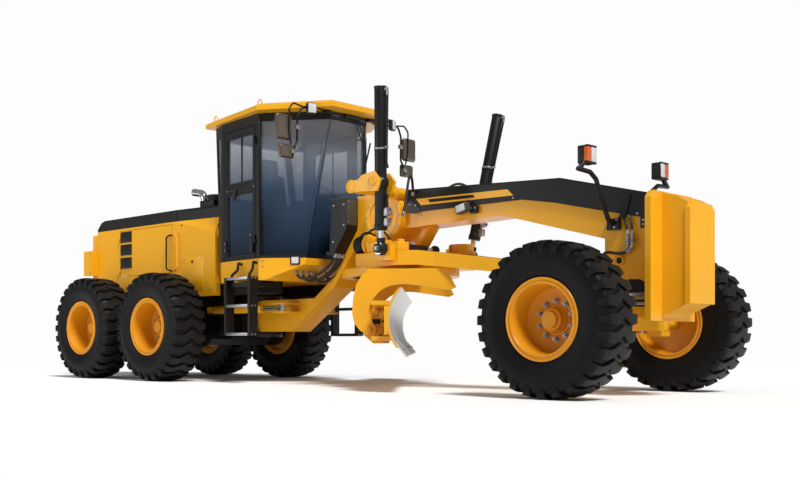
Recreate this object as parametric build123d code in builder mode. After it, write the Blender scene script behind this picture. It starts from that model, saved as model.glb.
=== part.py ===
from build123d import *
import os
from math import cos, radians, sin

# Motor grader: six wheels, an articulated frame with an arched front beam, a six-sided cab on the
# rear frame, and a curved blade hung under the beam. Millimetres, +X forward, +Z up, ground at Z 0.
# Lengths along the machine are stations, counted forward from the middle of the tandem wheels.

os.makedirs("parts", exist_ok=True)

# ---- running gear -------------------------------------------------------------------------------
wheelbase = 6500
tandem_spacing = 1540
track = 2160
rear_overhang = 1750
front_overhang = 790
tyre_radius = 674
tyre_width = 445
rim_radius = 330
flange_radius = 356
spindle_radius = 60
pin_gap = 0.5
seat_gap = 0.3
leaf_out = 16
leaf_long = 26
barrel_tall = 45
tandem_x = (rear_overhang - wheelbase - front_overhang) / 2
hinge_station = 1560
nose_station = wheelbase + front_overhang

side_plane = Plane(origin=(tandem_x, 0, 0), x_dir=(1, 0, 0), z_dir=(0, -1, 0))
top_plane = Plane(origin=(tandem_x, 0, 0))


def block(x0, x1, y0, y1, z0, z1, mode=Mode.ADD):
    """A box between two corners, its X given as stations."""
    with Locations((tandem_x + (x0 + x1) / 2, (y0 + y1) / 2, (z0 + z1) / 2)):
        Box(x1 - x0, y1 - y0, z1 - z0, mode=mode)


def spot(station, y, z):
    """A point from a station, a side distance and a height."""
    return Vector(tandem_x + station, y, z)


def rod_between(start, end, radius, mode=Mode.ADD):
    """A round bar from one point to another."""
    with Locations(Plane(origin=start, z_dir=end - start)):
        Cylinder(radius, (end - start).length, align=(Align.CENTER, Align.CENTER, Align.MIN), mode=mode)


def hinge_half(axis_point, along, outward, z, mode=Mode.ADD):
    """One half of a lift-off hinge: a knuckle on the axis, and a leaf from it along the panel it is on."""
    with Locations(axis_point + Vector(0, 0, z)):
        Cylinder(leaf_out - 4, barrel_tall, mode=mode)
    centre = axis_point + along * (leaf_long / 2 + 2) - outward * (leaf_out / 2) + Vector(0, 0, z)
    with Locations(Plane(origin=centre, x_dir=along, z_dir=(0, 0, 1))):
        Box(leaf_long, leaf_out + 4, barrel_tall, mode=mode)


# ---- wheels: a yellow dished rim and a tyre on it -------------------------------------------------
# name, station, side, how far the disc sits in from the outer flange
wheel_table = [
    ("rear_right", -tandem_spacing / 2, -1, 290),
    ("rear_left", -tandem_spacing / 2, 1, 290),
    ("middle_right", tandem_spacing / 2, -1, 290),
    ("middle_left", tandem_spacing / 2, 1, 290),
    ("front_right", wheelbase, -1, 245),
    ("front_left", wheelbase, 1, 245),
]
bead_half = 190
flange_half = 207
hub_radius = 105
crown_radius = tyre_radius - 64
bulge_radius = (tyre_radius + flange_radius) / 2
tyre_half = tyre_width / 2
wall_foot = flange_radius + 0.25 * (tyre_radius - flange_radius)

for name, station, side, dish in wheel_table:
    centre = Plane(origin=spot(station, side * track / 2, tyre_radius))
    axle = Axis(centre.origin, (0, 1, 0))
    with BuildPart() as tyre:
        with BuildSketch(centre):
            with BuildLine():
                Polyline(
                    (rim_radius, -bead_half), (flange_radius + 14, -bead_half),
                    (wall_foot, 8 - tyre_half), (bulge_radius, -tyre_half),
                    (tyre_radius - 74, 6 - tyre_half), (tyre_radius - 24, 28 - tyre_half),
                    (tyre_radius, 62 - tyre_half),
                    (tyre_radius, tyre_half - 62), (tyre_radius - 24, tyre_half - 28),
                    (tyre_radius - 74, tyre_half - 6), (bulge_radius, tyre_half), (wall_foot, tyre_half - 8),
                    (flange_radius + 14, bead_half), (rim_radius, bead_half), (rim_radius, bead_half - 35),
                    (wall_foot - 10, bead_half - 20), (bulge_radius, bead_half - 15), (crown_radius, 120),
                    (crown_radius, -120), (bulge_radius, 15 - bead_half), (wall_foot - 10, 20 - bead_half),
                    (rim_radius, 35 - bead_half), close=True)
            make_face()
        revolve(axis=axle)
    tyre.part.label = f"tyre_{name}"
    export_step(tyre.part, f"parts/tyre_{name}.step")

    disc_out = side * (flange_half - dish)
    disc_in = disc_out - side * 22
    with BuildPart() as rim:
        with BuildSketch(centre):
            with BuildLine():
                Polyline(
                    (rim_radius - 0.3, -bead_half - 0.3), (flange_radius, -bead_half - 0.3),
                    (flange_radius, -flange_half), (rim_radius - 16, -flange_half),
                    (rim_radius - 22, -80), (rim_radius - 22, 80), (rim_radius - 16, flange_half),
                    (flange_radius, flange_half), (flange_radius, bead_half + 0.3),
                    (rim_radius - 0.3, bead_half + 0.3), close=True)
            make_face()
            with Locations((rim_radius / 2 + spindle_radius / 2, (disc_out + disc_in) / 2)):
                Rectangle(rim_radius - spindle_radius - 18, 22)
            with Locations(((hub_radius + spindle_radius + pin_gap) / 2, (disc_out + disc_in) / 2)):
                Rectangle(hub_radius - spindle_radius - pin_gap, 100)
        revolve(axis=axle)
        with Locations(axle.location):
            Cylinder(spindle_radius + pin_gap, 3 * tyre_width, mode=Mode.SUBTRACT)
    rim.part.label = f"rim_{name}"
    export_step(rim.part, f"parts/rim_{name}.step")

# ---- tandem drive: the cross axle and the two chain cases with their wheel spindles ---------------
case_inner = 600
case_outer = 830
case_radius = 230
axle_tube_radius = 150
rear_disc_offset = flange_half - 290

with BuildPart() as tandem_drive:
    for side in (-1, 1):
        with BuildSketch(side_plane.offset(-side * case_inner)):
            with Locations((0, tyre_radius)):
                SlotCenterToCenter(tandem_spacing, 2 * case_radius)
        extrude(amount=-side * (case_outer - case_inner))
        for station in (-tandem_spacing / 2, tandem_spacing / 2):
            rod_between(spot(station, side * (case_outer - 5), tyre_radius),
                        spot(station, side * (track / 2 + rear_disc_offset + 45), tyre_radius),
                        spindle_radius)
    rod_between(spot(0, -case_inner - 5, tyre_radius), spot(0, case_inner + 5, tyre_radius),
                axle_tube_radius)
    rod_between(spot(0, -190, tyre_radius), spot(0, 190, tyre_radius), 250)
    for side in (-1, 1):
        block(-200, 200, side * 360 - 80, side * 360 + 80, tyre_radius, 860)
tandem_drive.part.label = "tandem_drive"
export_step(tandem_drive.part, "parts/tandem_drive.step")

# ---- rear chassis: rails, cross members, cab carriers and the hinge fork --------------------------
rail_top = 1080
rail_bottom = 860
rail_y = 360
neck_bottom = 613
neck_top = 1000
hinge_radius = 120
hinge_pin_radius = 50
fork_gap = 12
fork_plate = 55
cab_floor_bottom = 1200

art_rear = (950, 420)
art_front = (2300, 400)
art_z = 890
clevis_gap = 80
clevis_plate = 22

with BuildPart() as rear_chassis:
    for side in (-1, 1):
        block(-1640, 790, side * rail_y - 60, side * rail_y + 60, rail_bottom, rail_top)
        block(780, 1300, side * rail_y - 60, side * rail_y + 60, art_z + 60, rail_top)
        block(900, 2300, side * 460 - 60, side * 460 + 60, neck_top + 60, cab_floor_bottom)
    for station in (-1400, -500, 600):
        block(station - 60, station + 60, -rail_y, rail_y, rail_bottom + 20, rail_top - 20)
    block(-rear_overhang, -1630, -560, 560, 720, 1070)
    block(650, 1000, -310, 310, neck_bottom - 40, neck_top + 40)
    block(990, 1340, -220, 220, neck_bottom - 40, neck_top + 40)
    block(900, 1100, -500, 500, neck_top + 30, rail_top + 100)
    for z0 in (neck_bottom - fork_gap - fork_plate, neck_top + fork_gap):
        block(1300, hinge_station, -200, 200, z0, z0 + fork_plate)
        with Locations(spot(hinge_station, 0, z0 + fork_plate / 2)):
            Cylinder(200, fork_plate)
    with Locations(spot(hinge_station, 0, (neck_bottom + neck_top) / 2)):
        Cylinder(hinge_pin_radius, neck_top - neck_bottom + 2 * fork_gap + 10)
    for y in (-410, 410):
        for z0 in (art_z - clevis_gap / 2 - clevis_plate, art_z + clevis_gap / 2):
            block(700, art_rear[0] + 60, y - 110, y + 110, z0, z0 + clevis_plate)
rear_chassis.part.label = "rear_chassis"
export_step(rear_chassis.part, "parts/rear_chassis.step")

# ---- engine under the hood -------------------------------------------------------------------------
with BuildPart() as engine:
    block(-1150, 550, -290, 290, rail_top - 20 + seat_gap, 1900)
engine.part.label = "engine"
export_step(engine.part, "parts/engine.step")

# ---- hood: two side walls with doors, a black cover, the rear cowl and its grille ------------------
hood_half = 620
hood_rear = -1400
hood_front = 1290
hood_bottom = 1065
hood_top = 2050
cover_top = 2205
facet_start = 420
facet_drop = 197
facet_inset = 90
door_rear = -840
door_front = 400
door_sill = 1390
door_head = 2020
door_gap = 6
door_wall = 30
flap_hinge_heights = (1480, 1930)


def flap_hinge(side):
    """An engine door's hinge axis point at Z 0, beside its rear edge."""
    return spot(door_rear + door_gap / 2, side * (hood_half + leaf_out), 0)


with BuildPart() as hood_panels:
    block(hood_rear, hood_front, 0, hood_half, hood_bottom, hood_top)
    facet_points = [spot(facet_start, hood_half, hood_top),
                    spot(hood_front, hood_half, hood_top - facet_drop),
                    spot(hood_front, hood_half - facet_inset, hood_top)]
    facet_normal = (facet_points[2] - facet_points[0]).cross(facet_points[1] - facet_points[0])
    if facet_normal.Y < 0:
        facet_normal = facet_normal * -1
    split(bisect_by=Plane(origin=facet_points[0], z_dir=facet_normal), keep=Keep.BOTTOM)
    mirror(about=Plane.XZ)
    block(hood_rear - 10, facet_start, door_wall - hood_half, hood_half - door_wall,
          hood_bottom - 10, hood_top + 10, mode=Mode.SUBTRACT)
    block(facet_start - 10, hood_front - 40, 120 - hood_half, hood_half - 120,
          hood_bottom - 10, hood_top + 10, mode=Mode.SUBTRACT)
    block(facet_start - 10, hood_front + 10, -540, 540, hood_bottom - 10, cab_floor_bottom + 12,
          mode=Mode.SUBTRACT)
    block(door_rear, door_front, -hood_half - 10, hood_half + 10, door_sill, door_head, mode=Mode.SUBTRACT)
    for side in (-1, 1):
        for z in flap_hinge_heights:
            hinge_half(flap_hinge(side), Vector(-1, 0, 0), Vector(0, side, 0), z - barrel_tall - seat_gap)
hood_panels.part.label = "hood_panels"
export_step(hood_panels.part, "parts/hood_panels.step")

cover_front = 1340
with BuildPart() as hood_cover:
    with BuildSketch(top_plane.offset(hood_top)):
        Polygon((hood_rear, -hood_half), (facet_start, -hood_half), (cover_front, facet_inset - hood_half),
                (cover_front, hood_half - facet_inset), (facet_start, hood_half), (hood_rear, hood_half),
                align=None)
    extrude(amount=cover_top - hood_top)
    chamfer(hood_cover.faces().sort_by(Axis.Z)[-1].edges().filter_by(
        lambda e: abs(e.tangent_at(0.5).Y) < 0.5), 30)
    with BuildSketch(side_plane):
        Polygon((hood_rear - 20, hood_top + 20), (hood_rear + 140, cover_top + 10),
                (hood_rear - 20, cover_top + 10), align=None)
    extrude(amount=hood_half + 10, both=True, mode=Mode.SUBTRACT)
hood_cover.part.label = "hood_cover"
export_step(hood_cover.part, "parts/hood_cover.step")

cowl_rear = -1620
cowl_window = (480, 1210, 1940)
with BuildPart() as rear_cowl:
    block(cowl_rear, hood_rear, -hood_half + 20, hood_half - 20, hood_bottom + 15, hood_top - 40)
    chamfer(rear_cowl.edges().filter_by(Axis.Z).group_by(Axis.X)[0], 60)
    block(cowl_rear - 10, hood_rear + 10, -cowl_window[0], cowl_window[0], cowl_window[1], cowl_window[2],
          mode=Mode.SUBTRACT)
    for y in (-660, 660):
        block(-1610, hood_rear - 0.5, y - 62, y + 62, 1430, 1780)
rear_cowl.part.label = "rear_cowl"
export_step(rear_cowl.part, "parts/rear_cowl.step")

with BuildPart() as radiator_grille:
    block(-1560, -1520, seat_gap - cowl_window[0], cowl_window[0] - seat_gap, cowl_window[1] + seat_gap,
          cowl_window[2] - seat_gap)
    for row in range(12):
        z = cowl_window[1] + 60 + row * 54
        block(-1580, -1500, -430, 430, z, z + 26, mode=Mode.SUBTRACT)
radiator_grille.part.label = "radiator_grille"
export_step(radiator_grille.part, "parts/radiator_grille.step")

for name, side in (("right", -1), ("left", 1)):
    with BuildPart() as engine_door:
        y = side * (hood_half - door_wall / 2)
        block(door_rear + door_gap, door_front - door_gap, y - door_wall / 2, y + door_wall / 2,
              door_sill + door_gap, door_head - door_gap)
        for z in flap_hinge_heights:
            hinge_half(flap_hinge(side), Vector(1, 0, 0), Vector(0, side, 0), z)
    engine_door.part.label = f"engine_door_{name}"
    export_step(engine_door.part, f"parts/engine_door_{name}.step")

with BuildPart() as exhaust_pipe:
    with BuildLine(Plane(origin=spot(700, -330, 0), x_dir=(-1, 0, 0), z_dir=(0, 1, 0))):
        FilletPolyline((0, cover_top), (0, cover_top + 210), (220, cover_top + 250), radius=90)
    with BuildSketch(Plane(origin=spot(700, -330, cover_top))):
        Circle(48)
    sweep()
exhaust_pipe.part.label = "exhaust_pipe"
export_step(exhaust_pipe.part, "parts/exhaust_pipe.step")

with BuildPart() as air_cleaner:
    block(800, 1080, -480, -180, cover_top, cover_top + 80)
    rod_between(spot(940, -330, cover_top + 70), spot(940, -330, cover_top + 140), 105)
air_cleaner.part.label = "air_cleaner"
export_step(air_cleaner.part, "parts/air_cleaner.step")

# ---- cab: a six-sided box on the rear frame, wider at the doors, its front narrowing forward -------
cab_low = 1455
cab_high = 3130
cab_floor = 1440
cab_wall = 50
glass_low = 1500
glass_high = 3040
# corner, station at Z 1200, side there, station at Z 3130, side there
cab_corners = [
    ("rear", 1500, 697, 1270, 590),
    ("hinge", 1550, 720, 1550, 720),
    ("door", 2350, 820, 2350, 820),
    ("front", 2747, 502, 3012, 290),
]


def cab_corner(name, side, z):
    """Where a cab corner line stands at height z, on one side."""
    for corner, x0, y0, x1, y1 in cab_corners:
        if corner == name:
            f = (z - cab_floor_bottom) / (cab_high - cab_floor_bottom)
            return spot(x0 + f * (x1 - x0), side * (y0 + f * (y1 - y0)), z)


def cab_outline(z):
    """The cab's plan at height z, all the way round."""
    right = [cab_corner(corner[0], -1, z) for corner in cab_corners]
    left = [cab_corner(corner[0], 1, z) for corner in reversed(cab_corners)]
    return [(p.X, p.Y) for p in right + left]


def cab_panel(name_a, side_a, name_b, side_b, low, high, margin):
    """The four corners of a window between two corner lines, and the plane it lies in."""
    points = []
    for z, first, second in ((low, 0, 1), (high, 1, 0)):
        ends = (cab_corner(name_a, side_a, z), cab_corner(name_b, side_b, z))
        along = (ends[1] - ends[0]).normalized() * margin
        inset = (ends[0] + along, ends[1] - along)
        points += [inset[first], inset[second]]
    along = points[1] - points[0]
    return points, Plane(origin=points[0], x_dir=along, z_dir=along.cross(points[3] - points[0]))


def flat_outline(points, plane):
    """Points of a plane in that plane's own two coordinates."""
    local = [plane.to_local_coords(p) for p in points]
    return [(p.X, p.Y) for p in local]


# pane, first corner, its side, second corner, its side, low, high, margin
fixed_panes = [
    ("rear", "rear", 1, "rear", -1, 2260, 2980, 70),
    ("quarter_right", "rear", -1, "hinge", -1, 2330, 2980, 45),
    ("quarter_left", "hinge", 1, "rear", 1, 2330, 2980, 45),
    ("side_right", "door", -1, "front", -1, glass_low, glass_high, 30),
    ("side_left", "front", 1, "door", 1, glass_low, glass_high, 30),
    ("windshield", "front", -1, "front", 1, glass_low, glass_high, 22),
]
cab_doors = [("right", "hinge", -1, "door", -1), ("left", "door", 1, "hinge", 1)]
cab_door_low = 1462
cab_door_high = 3010
cab_door_margin = 64
door_hinge_heights = (1700, 2850)
door_windows = [(1500, 2245), (2365, 2925)]

door_along = (cab_corner("door", 1, 2000) - cab_corner("hinge", 1, 2000)).normalized()


def door_hinge(side):
    """A cab door's hinge axis point at Z 0, the way along the door to its front, and the way out."""
    along = Vector(door_along.X, side * door_along.Y, 0)
    outward = Vector(-door_along.Y, side * door_along.X, 0)
    corner = cab_corner("door", side, 0)
    return Vector(corner.X, corner.Y, 0) - along * (cab_door_margin + 4) + outward * leaf_out, along, outward


with BuildPart() as cab_frame:
    for z in (cab_low, cab_high):
        with BuildSketch(Plane.XY.offset(z)):
            Polygon(*cab_outline(z), align=None)
    loft(ruled=True)
    for z in (cab_low - 1, 3060):
        with BuildSketch(Plane.XY.offset(z)):
            Polygon(*cab_outline(z), align=None)
            offset(amount=-cab_wall, kind=Kind.INTERSECTION, mode=Mode.REPLACE)
    loft(ruled=True, mode=Mode.SUBTRACT)
    for pane, a, side_a, b, side_b, low, high, margin in fixed_panes:
        points, plane = cab_panel(a, side_a, b, side_b, low, high, margin)
        with BuildSketch(plane):
            Polygon(*flat_outline(points, plane), align=None)
        extrude(amount=90, both=True, mode=Mode.SUBTRACT)
    for door, a, side_a, b, side_b in cab_doors:
        points, plane = cab_panel(a, side_a, b, side_b, cab_door_low - 8, cab_door_high, cab_door_margin)
        with BuildSketch(plane):
            Polygon(*flat_outline(points, plane), align=None)
        extrude(amount=90, both=True, mode=Mode.SUBTRACT)
    for side in (-1, 1):
        axis_point, along, outward = door_hinge(side)
        for z in door_hinge_heights:
            hinge_half(axis_point, along, outward, z - barrel_tall - seat_gap)
cab_frame.part.label = "cab_frame"
export_step(cab_frame.part, "parts/cab_frame.step")

pane_inset = 15
pane_thick = 6
with BuildPart() as cab_glass:
    for pane, a, side_a, b, side_b, low, high, margin in fixed_panes:
        points, plane = cab_panel(a, side_a, b, side_b, low + 0.4, high - 0.4, margin + 0.4)
        with BuildSketch(plane.offset(-pane_inset)):
            Polygon(*flat_outline(points, plane), align=None)
        extrude(amount=-pane_thick)
cab_glass.part.label = "cab_glass"
export_step(cab_glass.part, "parts/cab_glass.step")

with BuildPart() as cab_base:
    for z in (cab_floor_bottom, cab_floor):
        with BuildSketch(Plane.XY.offset(z)):
            Polygon(*cab_outline(z), align=None)
    loft(ruled=True)
    with BuildSketch(Plane.XY.offset(cab_floor)):
        Polygon(*cab_outline(cab_floor), align=None)
    extrude(amount=cab_low - cab_floor)
    with BuildSketch(Plane.XY.offset(cab_floor)):
        Polygon(*cab_outline(cab_floor), align=None)
        offset(amount=-cab_wall, kind=Kind.INTERSECTION, mode=Mode.REPLACE)
    extrude(amount=cab_low - cab_floor, mode=Mode.SUBTRACT)
    with BuildSketch(side_plane):
        Polygon((2400, cab_floor_bottom - 10), (2400, cab_floor_bottom), (2760, 1375), (2900, 1375),
                (2900, cab_floor_bottom - 10), align=None)
    extrude(amount=900, both=True, mode=Mode.SUBTRACT)
cab_base.part.label = "cab_base"
export_step(cab_base.part, "parts/cab_base.step")

roof_plan = [(1200, 700), (2460, 950), (3210, 450)]
roof_top = 3215
with BuildPart() as cab_roof:
    with BuildSketch(top_plane.offset(cab_high)):
        Polygon(*[(x, -y) for x, y in roof_plan], *[(x, y) for x, y in reversed(roof_plan)], align=None)
    extrude(amount=roof_top - cab_high)
    chamfer(cab_roof.faces().sort_by(Axis.Z)[-1].edges(), 35, 60)
cab_roof.part.label = "cab_roof"
export_step(cab_roof.part, "parts/cab_roof.step")

for name, a, side_a, b, side_b in cab_doors:
    points, plane = cab_panel(a, side_a, b, side_b, cab_door_low, cab_door_high - 8, cab_door_margin + 8)
    windows = [cab_panel(a, side_a, b, side_b, low, high, cab_door_margin + 60)[0]
               for low, high in door_windows]
    with BuildPart() as cab_door:
        with BuildSketch(plane):
            Polygon(*flat_outline(points, plane), align=None)
        extrude(amount=-cab_wall)
        for window in windows:
            with BuildSketch(plane):
                Polygon(*flat_outline(window, plane), align=None)
            extrude(amount=-cab_wall, mode=Mode.SUBTRACT)
        axis_point, along, outward = door_hinge(-1 if name == "right" else 1)
        for z in door_hinge_heights:
            hinge_half(axis_point, along * -1, outward, z)
    cab_door.part.label = f"cab_door_{name}"
    export_step(cab_door.part, f"parts/cab_door_{name}.step")
    with BuildPart() as door_glass:
        for window in windows:
            with BuildSketch(plane.offset(-20)):
                Polygon(*flat_outline(window, plane), align=None)
                offset(amount=-0.4, kind=Kind.INTERSECTION, mode=Mode.REPLACE)
            extrude(amount=-pane_thick)
    door_glass.part.label = f"door_glass_{name}"
    export_step(door_glass.part, f"parts/door_glass_{name}.step")

# ---- inside the cab: seat, its pedestal, and the steering column with the lever boxes ---------------
seat_station = 1860
cushion_top = cab_floor + 520
back_foot = cushion_top + seat_gap
back_top = cab_floor + 1150
with BuildPart() as seat_cushions:
    block(seat_station - 230, seat_station + 270, -240, 240, cab_floor + 400, cushion_top)
    fillet(seat_cushions.edges().filter_by(Axis.Z), 50)
    with BuildSketch(side_plane):
        Polygon((seat_station - 240, back_foot), (seat_station - 120, back_foot),
                (seat_station - 220, back_top), (seat_station - 310, back_top), align=None)
    extrude(amount=225, both=True)
seat_cushions.part.label = "seat_cushions"
export_step(seat_cushions.part, "parts/seat_cushions.step")

with BuildPart() as cab_controls:
    block(seat_station - 200, seat_station + 220, -200, 200, cab_floor, cab_floor + 399.7)
    block(2470, 2580, -90, 90, cab_floor, cab_floor + 500)
    rod_between(spot(2520, 0, cab_floor + 480), spot(2440, 0, cab_floor + 720), 35)
    with Locations(Plane(origin=spot(2440, 0, cab_floor + 720), z_dir=(-80, 0, 240))):
        Torus(180, 16)
        Box(350, 26, 14)
    for y in (-150, 150):
        block(2400, 2620, y - 60, y + 60, cab_floor, cab_floor + 620)
cab_controls.part.label = "cab_controls"
export_step(cab_controls.part, "parts/cab_controls.step")

# ---- steps and grab rails -------------------------------------------------------------------------
step_rear = 1890
step_front = 2320
step_y = 885
step_half = 62
rail_standoff = 100.2
with BuildPart() as cab_steps:
    for side in (-1, 1):
        y = side * step_y
        for station in (step_rear, step_front):
            block(station - 18, station + 18, y - step_half, y + step_half, 560, 1240)
        for z in (560, 890, 1210):
            block(step_rear, step_front, y - step_half, y + step_half, z, z + 30)
        block(step_rear, step_front, min(side * 520, y), max(side * 520, y), 1130, 1180)
        rod_between(spot(2430, y, 1480), spot(2430, y, 3060), 17)
        for z in (1500, 2240, 3030):
            foot = spot(2430 - 0.6247 * rail_standoff, side * (step_y - 0.7809 * rail_standoff), z)
            rod_between(spot(2430, y, z), foot, 12)
cab_steps.part.label = "cab_steps"
export_step(cab_steps.part, "parts/cab_steps.step")

# ---- mirrors on bent tube arms --------------------------------------------------------------------
with BuildPart() as cab_mirrors:
    for side in (-1, 1):
        arm_root = spot(3000, side * 350, 3100)
        arm_bend = spot(3060, side * 780, 3090)
        arm_foot = spot(3040, side * 800, 2560)
        rod_between(arm_root, arm_bend, 13)
        block(2990, 3040, side * 350 - 30, side * 350 + 30, 3087, cab_high - seat_gap)
        rod_between(arm_bend, arm_foot, 13)
        with Locations(arm_bend):
            Sphere(13)
        block(3000, 3035, min(side * 800, side * 1010), max(side * 800, side * 1010), 2720, 3010)
        block(3000, 3035, min(side * 800, side * 980), max(side * 800, side * 980), 2540, 2690)
cab_mirrors.part.label = "cab_mirrors"
export_step(cab_mirrors.part, "parts/cab_mirrors.step")

# ---- front frame: neck, tower, arched beam and front leg, cut from one side profile ----------------
beam_half = 180
neck_half = 170
leg_rear = wheelbase - 60
leg_front = wheelbase + 460
arch_end = wheelbase - 940
axle_top = 770
saddle_station = 3770
saddle_z = 1857
saddle_radius = 280
ball_station = wheelbase - 270
ball_z = 1160
ball_radius = 70

yoke_station = 3980
yoke_z = 2090
yoke_radius = 62

beam_top = [(leg_front, 1690), (leg_front - 80, 1700), (arch_end + 410, 1930), (arch_end, 1970),
            (3900, 2050), (3700, 2130), (3310, 2130)]
with BuildPart() as front_frame:
    with BuildSketch(side_plane):
        Polygon((1640, neck_bottom), (2180, neck_bottom), (2930, 1120), (3310, 1600), (3480, 1690),
                (3800, 1710), (arch_end - 270, 1745), (leg_rear, 1430), (leg_rear, axle_top),
                (leg_front, axle_top),
                *beam_top, (3310, 1760), (3060, 1420), (2950, 1250), (2600, neck_top), (1640, neck_top),
                align=None)
    extrude(amount=neck_half, both=True)
    with Locations(spot(hinge_station, 0, (neck_bottom + neck_top) / 2)):
        Cylinder(hinge_radius, neck_top - neck_bottom)
        Cylinder(hinge_pin_radius + pin_gap, neck_top - neck_bottom + 10, mode=Mode.SUBTRACT)
    with BuildSketch(side_plane):
        with Locations((saddle_station, saddle_z)):
            Circle(saddle_radius)
    extrude(amount=235, both=True)
    for y in (-320, 320):
        for z0 in (art_z - clevis_gap / 2 - clevis_plate, art_z + clevis_gap / 2):
            block(2180, 2360, y - 155, y + 155, z0, z0 + clevis_plate)
    block(ball_station, leg_rear + 10, -110, 110, ball_z - 130, ball_z + 130)
    with Locations(spot(ball_station, 0, ball_z)):
        Sphere(ball_radius + pin_gap, mode=Mode.SUBTRACT)
    rod_between(spot(yoke_station, -300, yoke_z), spot(yoke_station, 300, yoke_z), yoke_radius + 0.3,
                mode=Mode.SUBTRACT)
front_frame.part.label = "front_frame"
export_step(front_frame.part, "parts/front_frame.step")

cover_half = neck_half + 26
with BuildPart() as frame_cover:
    with BuildSketch(side_plane):
        Polygon((4060, 2128), (arch_end + 410, 2040), (leg_front - 30, 1795), (leg_front - 0.5, 1785),
                (leg_front - 0.5, 1568), (leg_front - 80, 1578), (arch_end + 330, 1814),
                (arch_end - 30, 1876), (4170, 1876), (4060, 1990), align=None)
    extrude(amount=cover_half, both=True)
    with BuildSketch(side_plane):
        Polygon((leg_front + 40, 1450), (leg_front + 40, 1715), (leg_front - 80, 1725),
                (arch_end + 410, 1955), (arch_end, 1995), (4000, 2074), (4000, 1700), (arch_end - 60, 1600),
                align=None)
    extrude(amount=neck_half + pin_gap, both=True, mode=Mode.SUBTRACT)
    chamfer(frame_cover.faces().filter_by(lambda f: f.normal_at().Z > 0.9).edges().filter_by(
        lambda e: abs(e.tangent_at(0.5).Y) < 0.5), 12)
frame_cover.part.label = "frame_cover"
export_step(frame_cover.part, "parts/frame_cover.step")

with BuildPart() as valve_box:
    with BuildSketch(side_plane):
        Polygon((3035, 1500), (3111, 1490), (3309.5, 1760.1), (3309.5, 2095), (3075, 2095), align=None)
    extrude(amount=350, both=True)
valve_box.part.label = "valve_box"
export_step(valve_box.part, "parts/valve_box.step")

# ---- counterweight on the nose: a wide back plate, a core and a narrow push plate -------------------
push_plate = 50
with BuildPart() as counterweight:
    block(leg_front, leg_front + 60, -400, 400, 670, 1800)
    chamfer(counterweight.edges().filter_by(Axis.X).group_by(Axis.Z)[-1], 60)
    with BuildSketch(side_plane):
        Polygon((leg_front + 50, 700), (nose_station - 30, 815), (nose_station - 30, 1690),
                (nose_station - 120, 1745), (leg_front + 50, 1790), align=None)
    extrude(amount=215, both=True)
    with BuildSketch(Plane.YZ.offset(tandem_x + nose_station - push_plate)):
        Polygon((-230, 815), (230, 815), (230, 1640), (170, 1690), (-170, 1690), (-230, 1640), align=None)
    extrude(amount=push_plate)
counterweight.part.label = "counterweight"
export_step(counterweight.part, "parts/counterweight.step")

# ---- front axle, knuckles and the tie rod that slides through the steering cylinder -----------------
kingpin_y = track / 2 - 320
kingpin_radius = 40
steer_arm = 200
steer_rod_station = wheelbase - steer_arm
steer_rod_z = 600
steer_rod_radius = 28
with BuildPart() as front_axle:
    block(wheelbase - 100, wheelbase + 100, -kingpin_y + 135, kingpin_y - 135, 590, 750)
    block(leg_rear, leg_front, -neck_half, neck_half, 700, axle_top)
    for side in (-1, 1):
        for z0 in (540, 755):
            block(wheelbase - 70, wheelbase + 70, side * (kingpin_y - 50) - 90, side * (kingpin_y - 50) + 90,
                  z0, z0 + 50)
        block(wheelbase - 70, wheelbase + 70, side * (kingpin_y - 130) - 10, side * (kingpin_y - 130) + 10,
              540, 805)
        with Locations(spot(wheelbase, side * kingpin_y, (540 + 805) / 2)):
            Cylinder(kingpin_radius, 265)
    rod_between(spot(steer_rod_station, -280, steer_rod_z), spot(steer_rod_station, 280, steer_rod_z), 55)
    for y in (-220, 220):
        block(steer_rod_station, wheelbase - 90, y - 30, y + 30, steer_rod_z - 10, steer_rod_z + 40)
    rod_between(spot(steer_rod_station, -300, steer_rod_z), spot(steer_rod_station, 300, steer_rod_z),
                steer_rod_radius + pin_gap, mode=Mode.SUBTRACT)
front_axle.part.label = "front_axle"
export_step(front_axle.part, "parts/front_axle.step")

front_disc_offset = flange_half - 245
for name, side in (("right", -1), ("left", 1)):
    with BuildPart() as knuckle:
        with Locations(spot(wheelbase, side * kingpin_y, 672.5)):
            Cylinder(75, 154)
        rod_between(spot(wheelbase, side * (kingpin_y + 50), tyre_radius),
                    spot(wheelbase, side * (track / 2 + front_disc_offset + 45), tyre_radius),
                    spindle_radius)
        block(steer_rod_station - 45, wheelbase - 40, side * kingpin_y - 40, side * kingpin_y + 40, 632, 664)
        with Locations(spot(wheelbase, side * kingpin_y, 672.5)):
            Cylinder(kingpin_radius + pin_gap, 160, mode=Mode.SUBTRACT)
    knuckle.part.label = f"knuckle_{name}"
    export_step(knuckle.part, f"parts/knuckle_{name}.step")

with BuildPart() as tie_rod:
    rod_between(spot(steer_rod_station, -kingpin_y, steer_rod_z),
                spot(steer_rod_station, kingpin_y, steer_rod_z), steer_rod_radius)
    for side in (-1, 1):
        with Locations(spot(steer_rod_station, side * kingpin_y, steer_rod_z)):
            Cylinder(44, 63)
tie_rod.part.label = "tie_rod"
export_step(tie_rod.part, "parts/tie_rod.step")

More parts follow.
